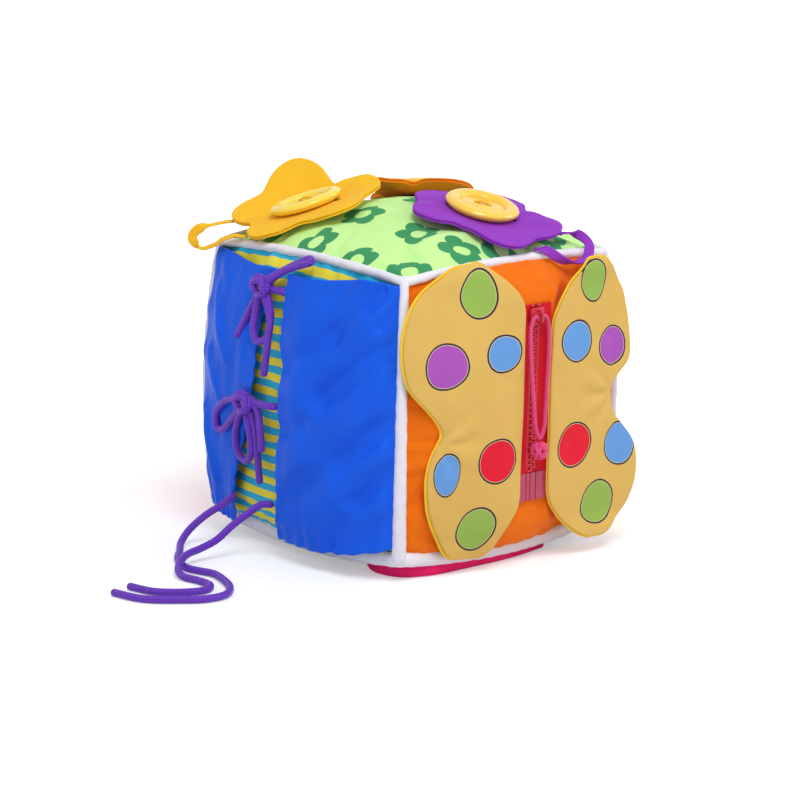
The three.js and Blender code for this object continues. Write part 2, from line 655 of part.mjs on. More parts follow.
// The bows. Each strand is a list of places: y, z, and height over the striped panel.
const BOWS = {
  upper: {
    knot: [13, 142, 9.6],
    strands: [
      [[12, 145, 9], [3, 151, 8], [-7, 156.5, 7.5], [-15, 159.5, 8], [-17, 158, 9], [-11, 156, 8.5],
        [-2, 153, 8], [6, 148, 8.5], [11, 143, 10]],
      [[15, 140, 9], [21, 131, 6.9], [26, 123, 6], [32, 114, 5.6]],
      [[11, 139, 9], [7, 133, 7.5], [4, 125, 6.6], [6, 118, 6.4], [12, 115.5, 6.8], [16, 120, 7],
        [16, 129, 7.5], [14, 138, 9]],
      [[10, 140, 8], [5.5, 131, 6.4], [4.5, 116, 6.2], [6, 98, 6]],
    ],
  },
  lower: {
    knot: [17, 83, 9.6],
    strands: [
      [[19, 84, 9], [27, 83, 8], [38, 79, 7.8], [46, 71, 8], [46, 64, 8], [40, 64, 7.8], [30, 72, 7.8],
        [20, 81, 9]],
      [[18, 81, 9], [25, 73, 7.5], [29, 63, 6.8], [28, 54, 6.8], [21, 51, 7], [16, 56, 7], [15, 66, 7.5],
        [16, 78, 9]],
      [[14, 84, 9], [9, 82, 8], [7.5, 77, 7.5], [7, 69, 7], [7, 58, 6.8]],
      [[14, 80, 8], [12, 70, 6.5], [12.5, 57, 5.5], [14.5, 39, 5]],
    ],
  },
};

function overStripes([y, z, height]) {
  return overAt("striped", -y, z - MIDDLE, height);
}

function bow({ knot, strands }) {
  const ball = new THREE.SphereGeometry(BOW_KNOT_RADIUS, 12, 8).scale(0.8, 1, 0.9);
  const pieces = [ball.translate(...overStripes(knot))];
  strands.forEach((strand) => pieces.push(cord(strand.map(overStripes), CORD_RADIUS, 6, 3 * strand.length)));
  return joined(pieces);
}

// The cords' ends on the right curtain: how high each is and how far over the striped panel, and where
// both run
const UPPER_STUB = { level: 142, height: 5.4 };
const LOWER_STUB = { level: 84, height: 6.8 };
const STUB_PLACES = [-11, -5, 1];

function tieStub({ level, height }) {
  const places = STUB_PLACES.map((y) => overStripes([y, level, height]));
  return cord(places, CORD_RADIUS, 8, 4);
}

// The untied pair: each leaves a curtain's free edge, hangs to the ground and lies there
const LOOSE_TIES = {
  left: [
    [-90.8, 37.1, 28.4], [-96.5, 40.5, 22.5], [-104, 46, 16.5], [-112, 50.5, 8.5], [-120, 47.5, 3.6],
    [-127.6, 39, 2.2], [-137, 29, 2.1], [-142.8, 19, 2.1], [-145.4, 10, 2.1], [-143.5, 2, 2.1],
    [-141.3, -6, 2.1], [-145.1, -19.8, 2.1], [-151.2, -31.3, 2.1], [-161.1, -39.4, 2.1],
    [-172.7, -39.2, 2.1], [-183.9, -32.4, 2.1], [-197.7, -19.1, 2.1], [-202.6, 0.8, 2.1],
  ],
  right: [
    [-93.8, 1.7, 29.6], [-98.5, 7, 29.2], [-104, 10.4, 25], [-111.5, 14.3, 19], [-120, 18, 11.2],
    [-129, 20, 7.7], [-138, 18.5, 6.9], [-146.5, 14, 6], [-153.5, 8, 3.6], [-156.9, 0, 2.2],
    [-155.4, -11, 2.1], [-156, -21, 2.1], [-162.5, -26.5, 2.1], [-172, -24.4, 2.1],
    [-184.9, -13.4, 2.1], [-189.7, 4.3, 2.1],
  ],
};

function looseTie(name) {
  const places = LOOSE_TIES[name].map((place) => new THREE.Vector3(...place));
  const length = new THREE.CatmullRomCurve3(places, false, "centripetal").getLength();
  console.log("loose tie, " + name + ": " + length.toFixed(1) + " mm long");
  return cord(places, CORD_RADIUS, 6, 44);
}

const PURPLE = 0x6b2fb8;
add("upper_bow", bow(BOWS.upper), PURPLE, 0.6);
add("lower_bow", bow(BOWS.lower), PURPLE, 0.6);
add("upper_tie_stub", tieStub(UPPER_STUB), PURPLE, 0.6);
add("lower_tie_stub", tieStub(LOWER_STUB), PURPLE, 0.6);
add("loose_tie_left", looseTie("left"), PURPLE, 0.6);
add("loose_tie_right", looseTie("right"), PURPLE, 0.6);

// The flowers: where each lies on the top, the way its first petal points, how far its petals curl up in
// turn, and the places that its tether passes on the way to the seam
const FLOWERS = {
  yellow: {
    place: [-40, 39],
    turn: 126,
    curls: [9, 7, 5, 6, 28],
    color: 0xffc830,
    tether: [
      [-77, 76, 167.5], [-84.5, 84, 164], [-87, 85.5, 159.5], [-84, 80, 155], [-82, 70, 157],
      [-80.8, 60, 162.3], [-78.8, 53, 164.6], [-77, 47, 164.4],
    ],
  },
  purple: {
    place: [11, -40],
    turn: -45,
    curls: [8, 5, 2, 3, 6],
    color: 0x7a22b0,
    tether: [
      [51.5, -72.5, 170], [56, -77, 165.5], [50, -82.5, 159.5], [37, -84.5, 157.5], [27, -84, 161],
      [21, -80.6, 165.4], [16, -75.8, 166],
    ],
  },
  orange: {
    place: [46, 34],
    turn: -47,
    curls: [7, 6, 4, 9, 10],
    color: 0xe87510,
    tether: [
      [78, 3, 169.5], [84.5, -2.5, 167], [87.5, -5, 162.5], [85.5, -3, 158.5], [83.6, 4, 159.5],
      [82.4, 11, 163], [79.5, 19, 165.8], [76.9, 26, 165.4],
    ],
  },
};

function flowerShape({ place, turn, curls }) {
  const first = THREE.MathUtils.degToRad(turn);
  const radiusAt = (angle) => {
    const lobe = ((1 + Math.cos(PETALS * (angle - first))) / 2) ** PETAL_POINT;
    return mix(FLOWER_WAIST, FLOWER_RADIUS, lobe);
  };
  const curlAt = (angle) =>
    curls.reduce((sum, curl, k) => {
      const petal = first + (2 * Math.PI * k) / PETALS;
      return sum + curl * Math.max(0, Math.cos(angle - petal)) ** CURL_SPREAD;
    }, 0);
  const middle = (radius, angle) => {
    const x = place[0] + radius * Math.cos(angle);
    const y = place[1] + radius * Math.sin(angle);
    const beyond = Math.max(0, radius - BUTTON_RADIUS) / (FLOWER_RADIUS - BUTTON_RADIUS);
    return overAt("top", x, y, FLOWER_MIDDLE + curlAt(angle) * beyond ** CURL_GROWTH);
  };
  return { first, radiusAt, middle };
}

function flower(design) {
  const { first, radiusAt, middle } = flowerShape(design);
  const holeAt = (angle) => {
    const across = Math.max(1e-3, Math.abs(Math.sin(angle - first)));
    return Math.min(BUTTONHOLE_HALF_LENGTH, BUTTONHOLE_HALF_WIDTH / across);
  };
  const surface = (i, j) => {
    const angle = first + 2 * Math.PI * j;
    return middle(mix(holeAt(angle), radiusAt(angle), i), angle);
  };
  const thickness = (i) => mix(FLOWER_THICKNESS, FLOWER_RIM, ease(0.6, 1, i));
  return padded(4, 40, surface, thickness, true);
}

// Sets a piece made about the Y axis on the top, upright on the cloth and turned about its own axis
function setOnTop(geometry, [x, y], height, turn) {
  const [u, v] = sharesAt(x, y);
  const normal = normalOf((a, b) => skin("top", a, b), u, v);
  const lean = new THREE.Quaternion().setFromUnitVectors(new THREE.Vector3(0, 1, 0), normal);
  geometry.rotateY(turn).applyQuaternion(lean);
  return geometry.translate(...over("top", u, v, height));
}

function button({ place, turn }) {
  const dish = BUTTON_THICKNESS - BUTTON_DISH;
  const inner = BUTTON_RADIUS - BUTTON_RIM;
  const profile = [
    [0, 0],
    [BUTTON_RADIUS - BUTTON_DISH, 0],
    [BUTTON_RADIUS, BUTTON_THICKNESS * 0.35],
    [BUTTON_RADIUS, BUTTON_THICKNESS * 0.65],
    [BUTTON_RADIUS - BUTTON_RIM * 0.35, BUTTON_THICKNESS],
    [BUTTON_RADIUS - BUTTON_RIM * 0.65, BUTTON_THICKNESS],
    [inner, dish + BUTTON_DISH * 0.35],
    [inner - BUTTON_RIM * 0.3, dish],
    [0, dish],
  ];
  const disc = new THREE.LatheGeometry(profile.map((p) => new THREE.Vector2(...p)), 24);
  const deep = 3 * BUTTON_THICKNESS;
  const holes = [-1, 1].map((side) => {
    const drill = new THREE.CylinderGeometry(BUTTON_HOLE_RADIUS, BUTTON_HOLE_RADIUS, deep, 8);
    return drill.translate(side * BUTTON_HOLE_SPREAD, 0, 0);
  });
  return setOnTop(cut(disc, holes), place, BUTTON_STANDOFF, THREE.MathUtils.degToRad(turn));
}

// The thread: a flat shank through the buttonhole, a strand through each hole, and a bar across the dish
function buttonThread({ place, turn }) {
  const floor = BUTTON_STANDOFF + BUTTON_THICKNESS - BUTTON_DISH;
  const crest = floor + GAP + 2 * THREAD_RADIUS;
  const long = 2 * (BUTTON_HOLE_SPREAD + THREAD_RADIUS);
  const shankTop = BUTTON_STANDOFF - GAP;
  const level = (low, high) => {
    const box = new THREE.BoxGeometry(long, high - low, 2 * THREAD_RADIUS);
    return box.translate(0, (low + high) / 2, 0);
  };
  const pieces = [level(GAP, shankTop), level(floor + GAP, crest)];
  for (const side of [-1, 1]) {
    const strand = new THREE.CylinderGeometry(THREAD_RADIUS, THREAD_RADIUS, crest - 2 * GAP, 8);
    pieces.push(strand.translate(side * BUTTON_HOLE_SPREAD, crest / 2, 0));
  }
  return setOnTop(joined(pieces), place, 0, THREE.MathUtils.degToRad(turn));
}

// A flat tape from under the first petal, out past the seam and back into it
function tether(design) {
  const { first, middle } = flowerShape(design);
  const under = new THREE.Vector3(0, 0, -(FLOWER_THICKNESS + TETHER_THICKNESS) / 2 - TETHER_SAG);
  const start = [0.78, 0.92].map((share) => middle(share * FLOWER_RADIUS, first).add(under));
  const path = new THREE.CatmullRomCurve3(
    [...start, ...design.tether.map((place) => new THREE.Vector3(...place))],
    false,
    "centripetal",
  );
  const outward = new THREE.Vector3(Math.cos(first), Math.sin(first), 0);
  const across = new THREE.Vector3(-outward.y, outward.x, 0);
  return sheet(16, 1, (i, j, side) => {
    const up = across.clone().cross(path.getTangent(i)).normalize();
    const place = path.getPoint(i).addScaledVector(across, (j - 0.5) * TETHER_WIDTH);
    return place.addScaledVector(up, (side * TETHER_THICKNESS) / 2);
  });
}

for (const [name, design] of Object.entries(FLOWERS)) {
  add(name + "_flower", flower(design), design.color);
  add(name + "_flower_button", button(design), 0xffc84a, 0.3);
  add(name + "_flower_thread", buttonThread(design), 0xffc84a, 0.7);
  add(name + "_tether", tether(design), design.color);
}

// The strap: it hangs from the seam to the ground and folds back under the block
function strap() {
  const front = REACH - STRAP_THICKNESS;
  const ground = STRAP_THICKNESS / 2 + GAP / 2;
  const section = new THREE.CatmullRomCurve3([
    new THREE.Vector3(0, -front + STRAP_FOLD / 2, STRAP_FOLD),
    new THREE.Vector3(0, -front, STRAP_FOLD / 2),
    new THREE.Vector3(0, -front + STRAP_FOLD / 4, ground),
    new THREE.Vector3(0, -front + STRAP_TUCK / 2, ground),
    new THREE.Vector3(0, -front + STRAP_TUCK, ground),
  ]);
  const middle = (i, j) => {
    const place = section.getPoint(THREE.MathUtils.clamp(j, 0, 1));
    return place.setX(mix(-STRAP_LEFT, STRAP_RIGHT, i));
  };
  return padded(8, 8, middle, () => STRAP_THICKNESS);
}

add("bottom_strap", strap(), 0xe0186a);

export default softBlock;
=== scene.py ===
# %% [markdown]
# # A soft fabric block
# A baby's block is a cloth cube filled with polyester fibre. One side has a zip between two padded wings,
# the next has two cloth curtains tied with cords, and three buttoned flowers lie on top.
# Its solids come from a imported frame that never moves. This lesson dresses each of them in turn.

# %% Load the frame
import bmesh
import bpy
import math
from mathutils import Matrix, Vector, noise


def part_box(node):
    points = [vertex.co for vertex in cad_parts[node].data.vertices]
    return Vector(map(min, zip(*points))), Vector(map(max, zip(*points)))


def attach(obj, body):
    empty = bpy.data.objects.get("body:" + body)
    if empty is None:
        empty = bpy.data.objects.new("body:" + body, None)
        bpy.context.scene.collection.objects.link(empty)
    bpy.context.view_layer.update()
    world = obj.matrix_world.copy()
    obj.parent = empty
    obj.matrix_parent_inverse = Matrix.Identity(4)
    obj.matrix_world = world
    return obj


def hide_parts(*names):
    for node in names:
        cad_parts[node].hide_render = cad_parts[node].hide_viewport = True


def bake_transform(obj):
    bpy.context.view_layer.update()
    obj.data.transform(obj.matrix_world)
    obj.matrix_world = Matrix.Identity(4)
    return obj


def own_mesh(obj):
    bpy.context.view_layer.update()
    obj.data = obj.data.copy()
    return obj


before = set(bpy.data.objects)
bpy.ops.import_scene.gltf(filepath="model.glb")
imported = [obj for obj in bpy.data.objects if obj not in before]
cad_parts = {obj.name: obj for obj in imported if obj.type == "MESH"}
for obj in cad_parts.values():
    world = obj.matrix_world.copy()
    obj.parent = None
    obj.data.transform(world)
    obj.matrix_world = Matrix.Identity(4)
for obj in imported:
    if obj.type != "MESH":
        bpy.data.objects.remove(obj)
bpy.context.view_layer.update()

# %% [markdown]
# ## The camera
# The photograph was taken from in front of the curtained corner with a long lens, a little above the
# block and turned by a degree. The aim point falls beside the picture's middle, so the lens is shifted.

# %% Camera
MM = 0.001
AIM = Vector((0, 0, 85)) * MM
AZIMUTH, ELEVATION, ROLL = (math.radians(angle) for angle in (-43, 12.5, 1.2))
DISTANCE = 1.7
PICTURE = 800
AIM_PIXEL = (409.6, 379.1)
FOCAL_PIXELS = 3131
SENSOR = 36

back = Vector((
    math.sin(AZIMUTH) * math.cos(ELEVATION),
    -math.cos(AZIMUTH) * math.cos(ELEVATION),
    math.sin(ELEVATION),
))
right = Vector((math.cos(AZIMUTH), math.sin(AZIMUTH), 0))
right = Matrix.Rotation(ROLL, 3, back) @ right
eye = bpy.data.cameras.new("camera")
eye.sensor_width = SENSOR
eye.lens = FOCAL_PIXELS / PICTURE * SENSOR
eye.shift_x = (PICTURE / 2 - AIM_PIXEL[0]) / PICTURE
eye.shift_y = (AIM_PIXEL[1] - PICTURE / 2) / PICTURE
camera = bpy.data.objects.new("camera", eye)
camera.matrix_world = Matrix.LocRotScale(
    AIM + back * DISTANCE, Matrix((right, back.cross(right), back)).transposed().to_quaternion(), None
)
bpy.context.scene.collection.objects.link(camera)
bpy.context.scene.camera = camera
print("the lens is", round(eye.lens, 1), "mm long")

# %% [markdown]
# ## Paints and cloths
# Every finish here starts from what the real one is. One function turns a colour as a painter reads it into
# the linear value that a shader takes, and one adds a node with its settings and its links.

# %% Colours and nodes
def linear(colour):
    """The linear value of an sRGB hex colour."""
    parts = [int(colour[k : k + 2], 16) / 255 for k in (1, 3, 5)]
    return tuple(c / 12.92 if c <= 0.04045 else ((c + 0.055) / 1.055) ** 2.4 for c in parts) + (1.0,)


def add_node(tree, kind, inputs=(), **settings):
    """Adds a node. Its inputs take a value, or the output of another node."""
    made = tree.nodes.new(kind)
    for name, value in settings.items():
        setattr(made, name, value)
    for socket, value in dict(inputs).items():
        if isinstance(value, bpy.types.NodeSocket):
            tree.links.new(value, made.inputs[socket])
        else:
            made.inputs[socket].default_value = value
    return made


def new_finish(name):
    """An empty material, and its tree."""
    finish = bpy.data.materials.new(name)
    finish.use_nodes = True
    finish.node_tree.nodes.clear()
    return finish, finish.node_tree


print("orange in linear light:", [round(c, 3) for c in linear("#FF7A00")])

# %% [markdown]
# The cloth is poplin: plain-woven cotton and polyester, with threads about 0.3 mm apart. At this distance
# they would be lost, so the weave is drawn three times as coarse. Two crossed waves give it its height, a
# cloudy noise gives the soft change of tone that dyed cloth has, and a little sheen gives the lint on it.
# The hollows between the threads are painted darker, as painted shade.

# %% Woven cloth
THREADS = 0.9 * MM  # from thread to thread as drawn


def bands(length):
    """The scale at which a wave texture repeats over a length in metres."""
    return 2 * math.pi / (20 * length)


def chart(tree):
    """Where a point lies on the flat cut of the cloth, in metres."""
    return add_node(tree, "ShaderNodeUVMap", uv_map="cut").outputs["UV"]


def weave(tree, place, length=THREADS):
    waves = [
        add_node(tree, "ShaderNodeTexWave", {"Vector": place, "Scale": bands(length)}, bands_direction=way)
        for way in "XY"
    ]
    return add_node(
        tree, "ShaderNodeMath", {0: waves[0].outputs["Fac"], 1: waves[1].outputs["Fac"]}, operation="MULTIPLY"
    ).outputs[0]


def blended(tree, share, low, high):
    mixed = add_node(tree, "ShaderNodeMix", {0: share, 6: low, 7: high}, data_type="RGBA")
    return mixed.outputs[2]


def cloth(name, tone, shade, print_on=None, roughness=0.85, sheen=0.06, relief=0.08, length=THREADS,
          gloss=0.25):
    """Woven cloth: its tone, its darker tone in the clouds and as painted shade between threads, and what is
    printed on it.
    """
    finish, tree = new_finish(name)
    place = chart(tree)
    clouds = add_node(tree, "ShaderNodeTexNoise", {"Vector": place, "Scale": 35.0, "Detail": 3.0})
    height = weave(tree, place, length)
    cloud_tone = add_node(tree, "ShaderNodeMath", {0: clouds.outputs["Fac"], 1: 0.55}, operation="MULTIPLY")
    # painted shade: where the weave is low, between the threads, the colour takes the darker tone, on top of
    # the clouds' own change of tone
    cloud_tone_and_thread_shade = add_node(
        tree, "ShaderNodeMath", {0: height, 1: -0.18, 2: cloud_tone.outputs[0]}, operation="MULTIPLY_ADD"
    )
    colour = blended(tree, cloud_tone_and_thread_shade.outputs[0], linear(tone), linear(shade))
    if print_on:
        colour = print_on(tree, place, colour)
    bump = add_node(tree, "ShaderNodeBump", {"Height": height, "Strength": 0.35, "Distance": relief * MM})
    shader = add_node(tree, "ShaderNodeBsdfPrincipled", {
        "Base Color": colour,
        "Roughness": roughness,
        "IOR": 1.5,
        "Specular IOR Level": gloss,
        "Sheen Weight": sheen,
        "Sheen Roughness": 0.4,
        "Normal": bump.outputs[0],
    })
    add_node(tree, "ShaderNodeOutputMaterial", {"Surface": shader.outputs[0]})
    return finish


# %% [markdown]
# The prints are drawn in real sizes on the flat cut of the cloth, before it is sewn. The top has open
# flowers of five petals, one in each cell of a jittered grid, turned its own way. The wings have spots with
# a thin dark line round them, a little out of round as hand-drawn ones are.

# %% Prints
FLOWER_PITCH = 34 * MM
PETAL_REACH = 11.2 * MM
PETAL_NOTCH = 7.4 * MM
FLOWER_EYE = 4 * MM
SPOT_LINE, SPOT_GAP = 1, 0.25  # the dark line, and the bare line inside it


def calc(tree, operation, *values):
    return add_node(tree, "ShaderNodeMath", dict(enumerate(values)), operation=operation).outputs[0]


def ring_flowers(tree, place, ground):
    cells = add_node(
        tree,
        "ShaderNodeTexVoronoi",
        {"Vector": place, "Scale": 1 / FLOWER_PITCH, "Randomness": 0.35},
        voronoi_dimensions="2D",
    )
    offset = add_node(
        tree, "ShaderNodeVectorMath", {0: place, 1: cells.outputs["Position"]}, operation="SUBTRACT"
    ).outputs[0]
    parts = add_node(tree, "ShaderNodeSeparateXYZ", {0: offset})
    reach = add_node(tree, "ShaderNodeVectorMath", {0: offset}, operation="LENGTH").outputs["Value"]
    spun = add_node(tree, "ShaderNodeSeparateColor", {0: cells.outputs["Color"]}).outputs[0]
    angle = calc(tree, "ARCTAN2", parts.outputs[1], parts.outputs[0])
    turned = calc(tree, "MULTIPLY_ADD", spun, 2 * math.pi, angle)
    lobe = calc(tree, "ABSOLUTE", calc(tree, "COSINE", calc(tree, "MULTIPLY", turned, 2.5)))
    edge = calc(tree, "MULTIPLY_ADD", calc(tree, "POWER", lobe, 0.7), PETAL_REACH - PETAL_NOTCH, PETAL_NOTCH)
    petals = calc(tree, "MULTIPLY", calc(tree, "LESS_THAN", reach, edge),
                  calc(tree, "GREATER_THAN", reach, FLOWER_EYE))
    return blended(tree, petals, ground, linear("#3F9A62"))


STRIPE_PITCH = 7.8 * MM
STRIPE_START = 0.97  # so that a blue stripe lies under the top seam


def stripes(tree, place, ground):
    wave = add_node(
        tree,
        "ShaderNodeTexWave",
        {"Vector": place, "Scale": bands(STRIPE_PITCH), "Distortion": 0.3, "Phase Offset": STRIPE_START},
        bands_direction="Y",
    )
    drawn = calc(tree, "GREATER_THAN", wave.outputs["Fac"], 0.5)
    return blended(tree, drawn, ground, linear("#36BCE4"))


def spots(marks):
    """Draws spots. Each has its place across and up, its radius, its width to its height and its colour."""

    def draw(tree, place, ground):
        wobble = add_node(tree, "ShaderNodeTexNoise", {"Vector": place, "Scale": 45.0, "Detail": 0.0})
        shift = calc(tree, "MULTIPLY_ADD", wobble.outputs["Fac"], 4 * MM, -2 * MM)
        colour = ground
        for across, up, radius, wide, tone in marks:
            offset = add_node(tree, "ShaderNodeVectorMath", {0: place, 1: (across * MM, up * MM, 0)},
                              operation="SUBTRACT").outputs[0]
            evened = add_node(tree, "ShaderNodeVectorMath", {0: offset, 1: (1 / wide, 1, 0)},
                              operation="MULTIPLY").outputs[0]
            away = add_node(tree, "ShaderNodeVectorMath", {0: evened}, operation="LENGTH").outputs["Value"]
            reach = calc(tree, "ADD", away, shift)
            rings = ((radius + SPOT_LINE, "#30303E"), (radius, "#F2DC98"), (radius - SPOT_GAP, tone))
            for edge, shown in rings:
                colour = blended(tree, calc(tree, "LESS_THAN", reach, edge * MM), colour, linear(shown))
        return colour

    return draw


print("a stripe repeats after", STRIPE_PITCH / MM, "mm")

# %% [markdown]
# The cords are braided polyester: strands cross over each other in diamonds along the cord. Its two crossed
# slanting waves run on a chart whose first direction follows the cord, and the gaps between strands are
# painted darker as painted shade. Moulded parts are acetal or ABS, with a fine grain that softens their
# highlight.

# %% Braid and plastic
def braid(name, tone, shade, pitch):
    """Braided cord with painted shade between its strands: the diamonds repeat after a pitch in millimetres.
    """
    finish, tree = new_finish(name)
    parts = add_node(tree, "ShaderNodeSeparateXYZ", {0: chart(tree)})
    run = calc(tree, "MULTIPLY", parts.outputs[0], 2 * math.pi / (pitch * MM))
    round_ = calc(tree, "MULTIPLY", parts.outputs[1], 2 * math.pi)
    strands = [
        calc(tree, "ABSOLUTE", calc(tree, "SINE", calc(tree, "MULTIPLY_ADD", round_, way, run)))
        for way in (2.0, -2.0)
    ]
    height = calc(tree, "MAXIMUM", *strands)
    # painted shade: the sunken gaps between the strands take the darker tone
    strand_gap_shade = calc(tree, "SUBTRACT", 1.0, height)
    colour = blended(tree, calc(tree, "MULTIPLY", strand_gap_shade, 2.2), linear(tone), linear(shade))
    bump = add_node(tree, "ShaderNodeBump", {"Height": height, "Strength": 0.8, "Distance": 0.35 * MM})
    shader = add_node(tree, "ShaderNodeBsdfPrincipled", {
        "Base Color": colour,
        "Roughness": 0.5,
        "IOR": 1.55,
        "Specular IOR Level": 0.35,
        "Sheen Weight": 0.1,
        "Normal": bump.outputs[0],
    })
    add_node(tree, "ShaderNodeOutputMaterial", {"Surface": shader.outputs[0]})
    return finish


def plastic(name, tone, shade, roughness=0.3, coat=0.0):
    """Moulded plastic with a fine grain and a slightly uneven colour."""
    finish, tree = new_finish(name)
    place = add_node(tree, "ShaderNodeTexCoord").outputs["Object"]
    clouds = add_node(tree, "ShaderNodeTexNoise", {"Vector": place, "Scale": 60.0, "Detail": 2.0})
    grain = add_node(tree, "ShaderNodeTexNoise", {"Vector": place, "Scale": 1500.0, "Detail": 2.0})
    bump = add_node(
        tree, "ShaderNodeBump", {"Height": grain.outputs["Fac"], "Strength": 0.15, "Distance": 0.05 * MM}
    )
    shader = add_node(tree, "ShaderNodeBsdfPrincipled", {
        "Base Color": blended(tree, clouds.outputs["Fac"], linear(tone), linear(shade)),
        "Roughness": roughness,
        "IOR": 1.5,
        "Coat Weight": coat,
        "Normal": bump.outputs[0],
    })
    add_node(tree, "ShaderNodeOutputMaterial", {"Surface": shader.outputs[0]})
    return finish


# %% The finishes of this block
purple_braid = braid("braided purple polyester cord", "#7C34D6", "#300C82", 2.4)
pink_braid = braid("braided pink polyester cord", "#F84C90", "#C8185C", 1.8)
green_print = cloth("green poplin printed with flowers", "#D2FFA6", "#BAF48C", ring_flowers)
white_poplin = cloth("white poplin", "#F7F5FD", "#E2E0EE")
orange_poplin = cloth("orange poplin", "#FA7C00", "#E85A00")
striped_poplin = cloth("yellow poplin printed with stripes", "#FFF04C", "#F4E038", stripes)
magenta_poplin = cloth("magenta poplin", "#F82074", "#D41058")
yellow_poplin = cloth("yellow poplin", "#FFCA2C", "#FFAE00")
amber_poplin = cloth("amber poplin", "#FF8E18", "#F27600")
purple_poplin = cloth("purple poplin", "#A040CE", "#741CA6")
blue_satin = cloth("blue satin", "#1466F6", "#083CBC", roughness=0.5, sheen=0, relief=0.04, gloss=0.16)
wing_lining = cloth("bright yellow poplin", "#FFD840", "#F4C028")
red_tape = cloth("red woven zip tape", "#DC1028", "#BC001C", relief=0.14, length=1.3 * MM)
fibre = cloth("polyester fibre filling", "#FFFFFF", "#E4E4E4", roughness=0.95, sheen=0.5, relief=0.4)
red_acetal = plastic("red acetal", "#D82840", "#C01C34", roughness=0.4)
rose_film = plastic("rose film", "#C63C5E", "#AE2A4A", roughness=0.3)
yellow_abs = plastic("glossy yellow ABS", "#FFD94E", "#FFCA3A", roughness=0.22, coat=0.3)
lemon_abs = plastic("glossy lemon ABS", "#FFE650", "#FFD83C", roughness=0.22, coat=0.3)
print(len(bpy.data.materials), "finishes")

# %% [markdown]
# ## Shapes that the pieces share
# A piece is drawn in millimetres and made a mesh in metres. Cloth starts as a flat grid that a function
# lays in its place, and it keeps its flat cut as a chart. A cord starts as the same grid, rolled round
# its path, so that the braid follows it.

# %% From a drawing to a piece
def ease(start, end, x):
    """Rises smoothly from 0 to 1 between two values."""
    t = min(1, max(0, (x - start) / (end - start)))
    return t * t * (3 - 2 * t)


def mix(a, b, share):
    return a + (b - a) * share


def flow(values, share):
    """The value at a share of the way along a list of evenly spaced ones, on a smooth curve."""
    spot = min(1, max(0, share)) * (len(values) - 1)
    k = min(int(spot), len(values) - 2)
    t = spot - k
    a, b, c, d = (values[min(max(k + step, 0), len(values) - 1)] for step in (-1, 0, 1, 2))
    return b + 0.5 * t * (c - a + t * (2 * a - 5 * b + 4 * c - d + t * (3 * (b - c) + d - a)))


def piece(bm, name, *finishes, turn_out=True):
    """Merges doubles, turns the faces outwards, and makes an object with its place in its mesh."""
    bmesh.ops.remove_doubles(bm, verts=bm.verts[:], dist=1e-3)
    if turn_out:
        bmesh.ops.recalc_face_normals(bm, faces=bm.faces[:])
    bmesh.ops.scale(bm, vec=(MM, MM, MM), verts=bm.verts[:])
    mesh = bpy.data.meshes.new(name)
    bm.to_mesh(mesh)
    bm.free()
    for finish in finishes:
        mesh.materials.append(finish)
    mesh.shade_smooth()
    made = bpy.data.objects.new(name, mesh)
    bpy.context.scene.collection.objects.link(made)
    print(name, "has", len(mesh.polygons), "faces")
    return made


def stand_for(made, node, body, slot):
    """Puts a piece in the place of its solid and hides the solid: the piece moves with a body. The slot is not
    used.
    """
    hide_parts(node)
    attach(made, body)


def laid_grid(bm, columns, rows, place, width, length):
    """Adds a grid, charts its flat cut in metres, and lays it: place takes two shares from 0 to 1."""
    cut = bm.loops.layers.uv.get("cut") or bm.loops.layers.uv.new("cut")
    grid = bmesh.ops.create_grid(bm, x_segments=columns, y_segments=rows, size=0.5)["verts"]
    for face in {face for vert in grid for face in vert.link_faces}:
        for loop in face.loops:
            loop[cut].uv = ((loop.vert.co.x + 0.5) * width, (loop.vert.co.y + 0.5) * length)
    for vert in grid:
        vert.co = place(vert.co.x + 0.5, vert.co.y + 0.5)


def cloth_piece(name, columns, rows, place, size, *finishes):
    """A sheet of cloth from a grid. Its size is the flat cut's, in millimetres."""
    bm = bmesh.new()
    laid_grid(bm, columns, rows, place, size[0] * MM, size[1] * MM)
    return piece(bm, name, *finishes)


def thicken(made, thickness, offset=0, group=None, thin=0.5):
    """Gives a sheet its wall and rounds its edge. A vertex group can thin it."""
    wall = made.modifiers.new("wall", "SOLIDIFY")
    wall.thickness = thickness * MM
    wall.offset = offset
    wall.use_even_offset = True
    if group:
        wall.vertex_group = group
        wall.thickness_vertex_group = thin
    rounded = made.modifiers.new("rounded", "SUBSURF")
    rounded.levels = rounded.render_levels = 1


# %% Paths and cords
def run_length(path):
    return sum((b - a).length for a, b in zip(path, path[1:]))


def evenly(places, step):
    """Places along a line, as near to a step apart as fills it."""
    gaps = [(b - a).length for a, b in zip(places, places[1:])]
    count = max(2, round(sum(gaps) / step))
    stride = sum(gaps) / count
    found, k, gone = [places[0]], 0, 0
    for n in range(1, count):
        while gone + gaps[k] < n * stride:
            gone += gaps[k]
            k += 1
        found.append(places[k].lerp(places[k + 1], (n * stride - gone) / gaps[k]))
    return found + [places[-1]]


def smooth_path(points, step, closed=False):
    """A smooth curve through some points, as evenly spaced places."""
    knots = [Vector(point) for point in points]
    if closed:
        knots = [knots[-1], *knots, knots[0], knots[1]]
    else:
        knots = [2 * knots[0] - knots[1], *knots, 2 * knots[-1] - knots[-2]]
    fine = []
    for a, b, c, d in zip(knots, knots[1:], knots[2:], knots[3:]):
        start = (b - a).length ** 0.5
        end = start + (c - b).length ** 0.5
        last = end + (d - c).length ** 0.5
        for k in range(16):
            t = mix(start, end, k / 16)
            ab, bc = a.lerp(b, t / start), b.lerp(c, (t - start) / (end - start))
            cd = c.lerp(d, (t - end) / (last - end))
            fine.append(ab.lerp(bc, t / end).lerp(bc.lerp(cd, (t - start) / (last - start)),
                                                  (t - start) / (end - start)))
    return evenly([*fine, knots[-2]], step)


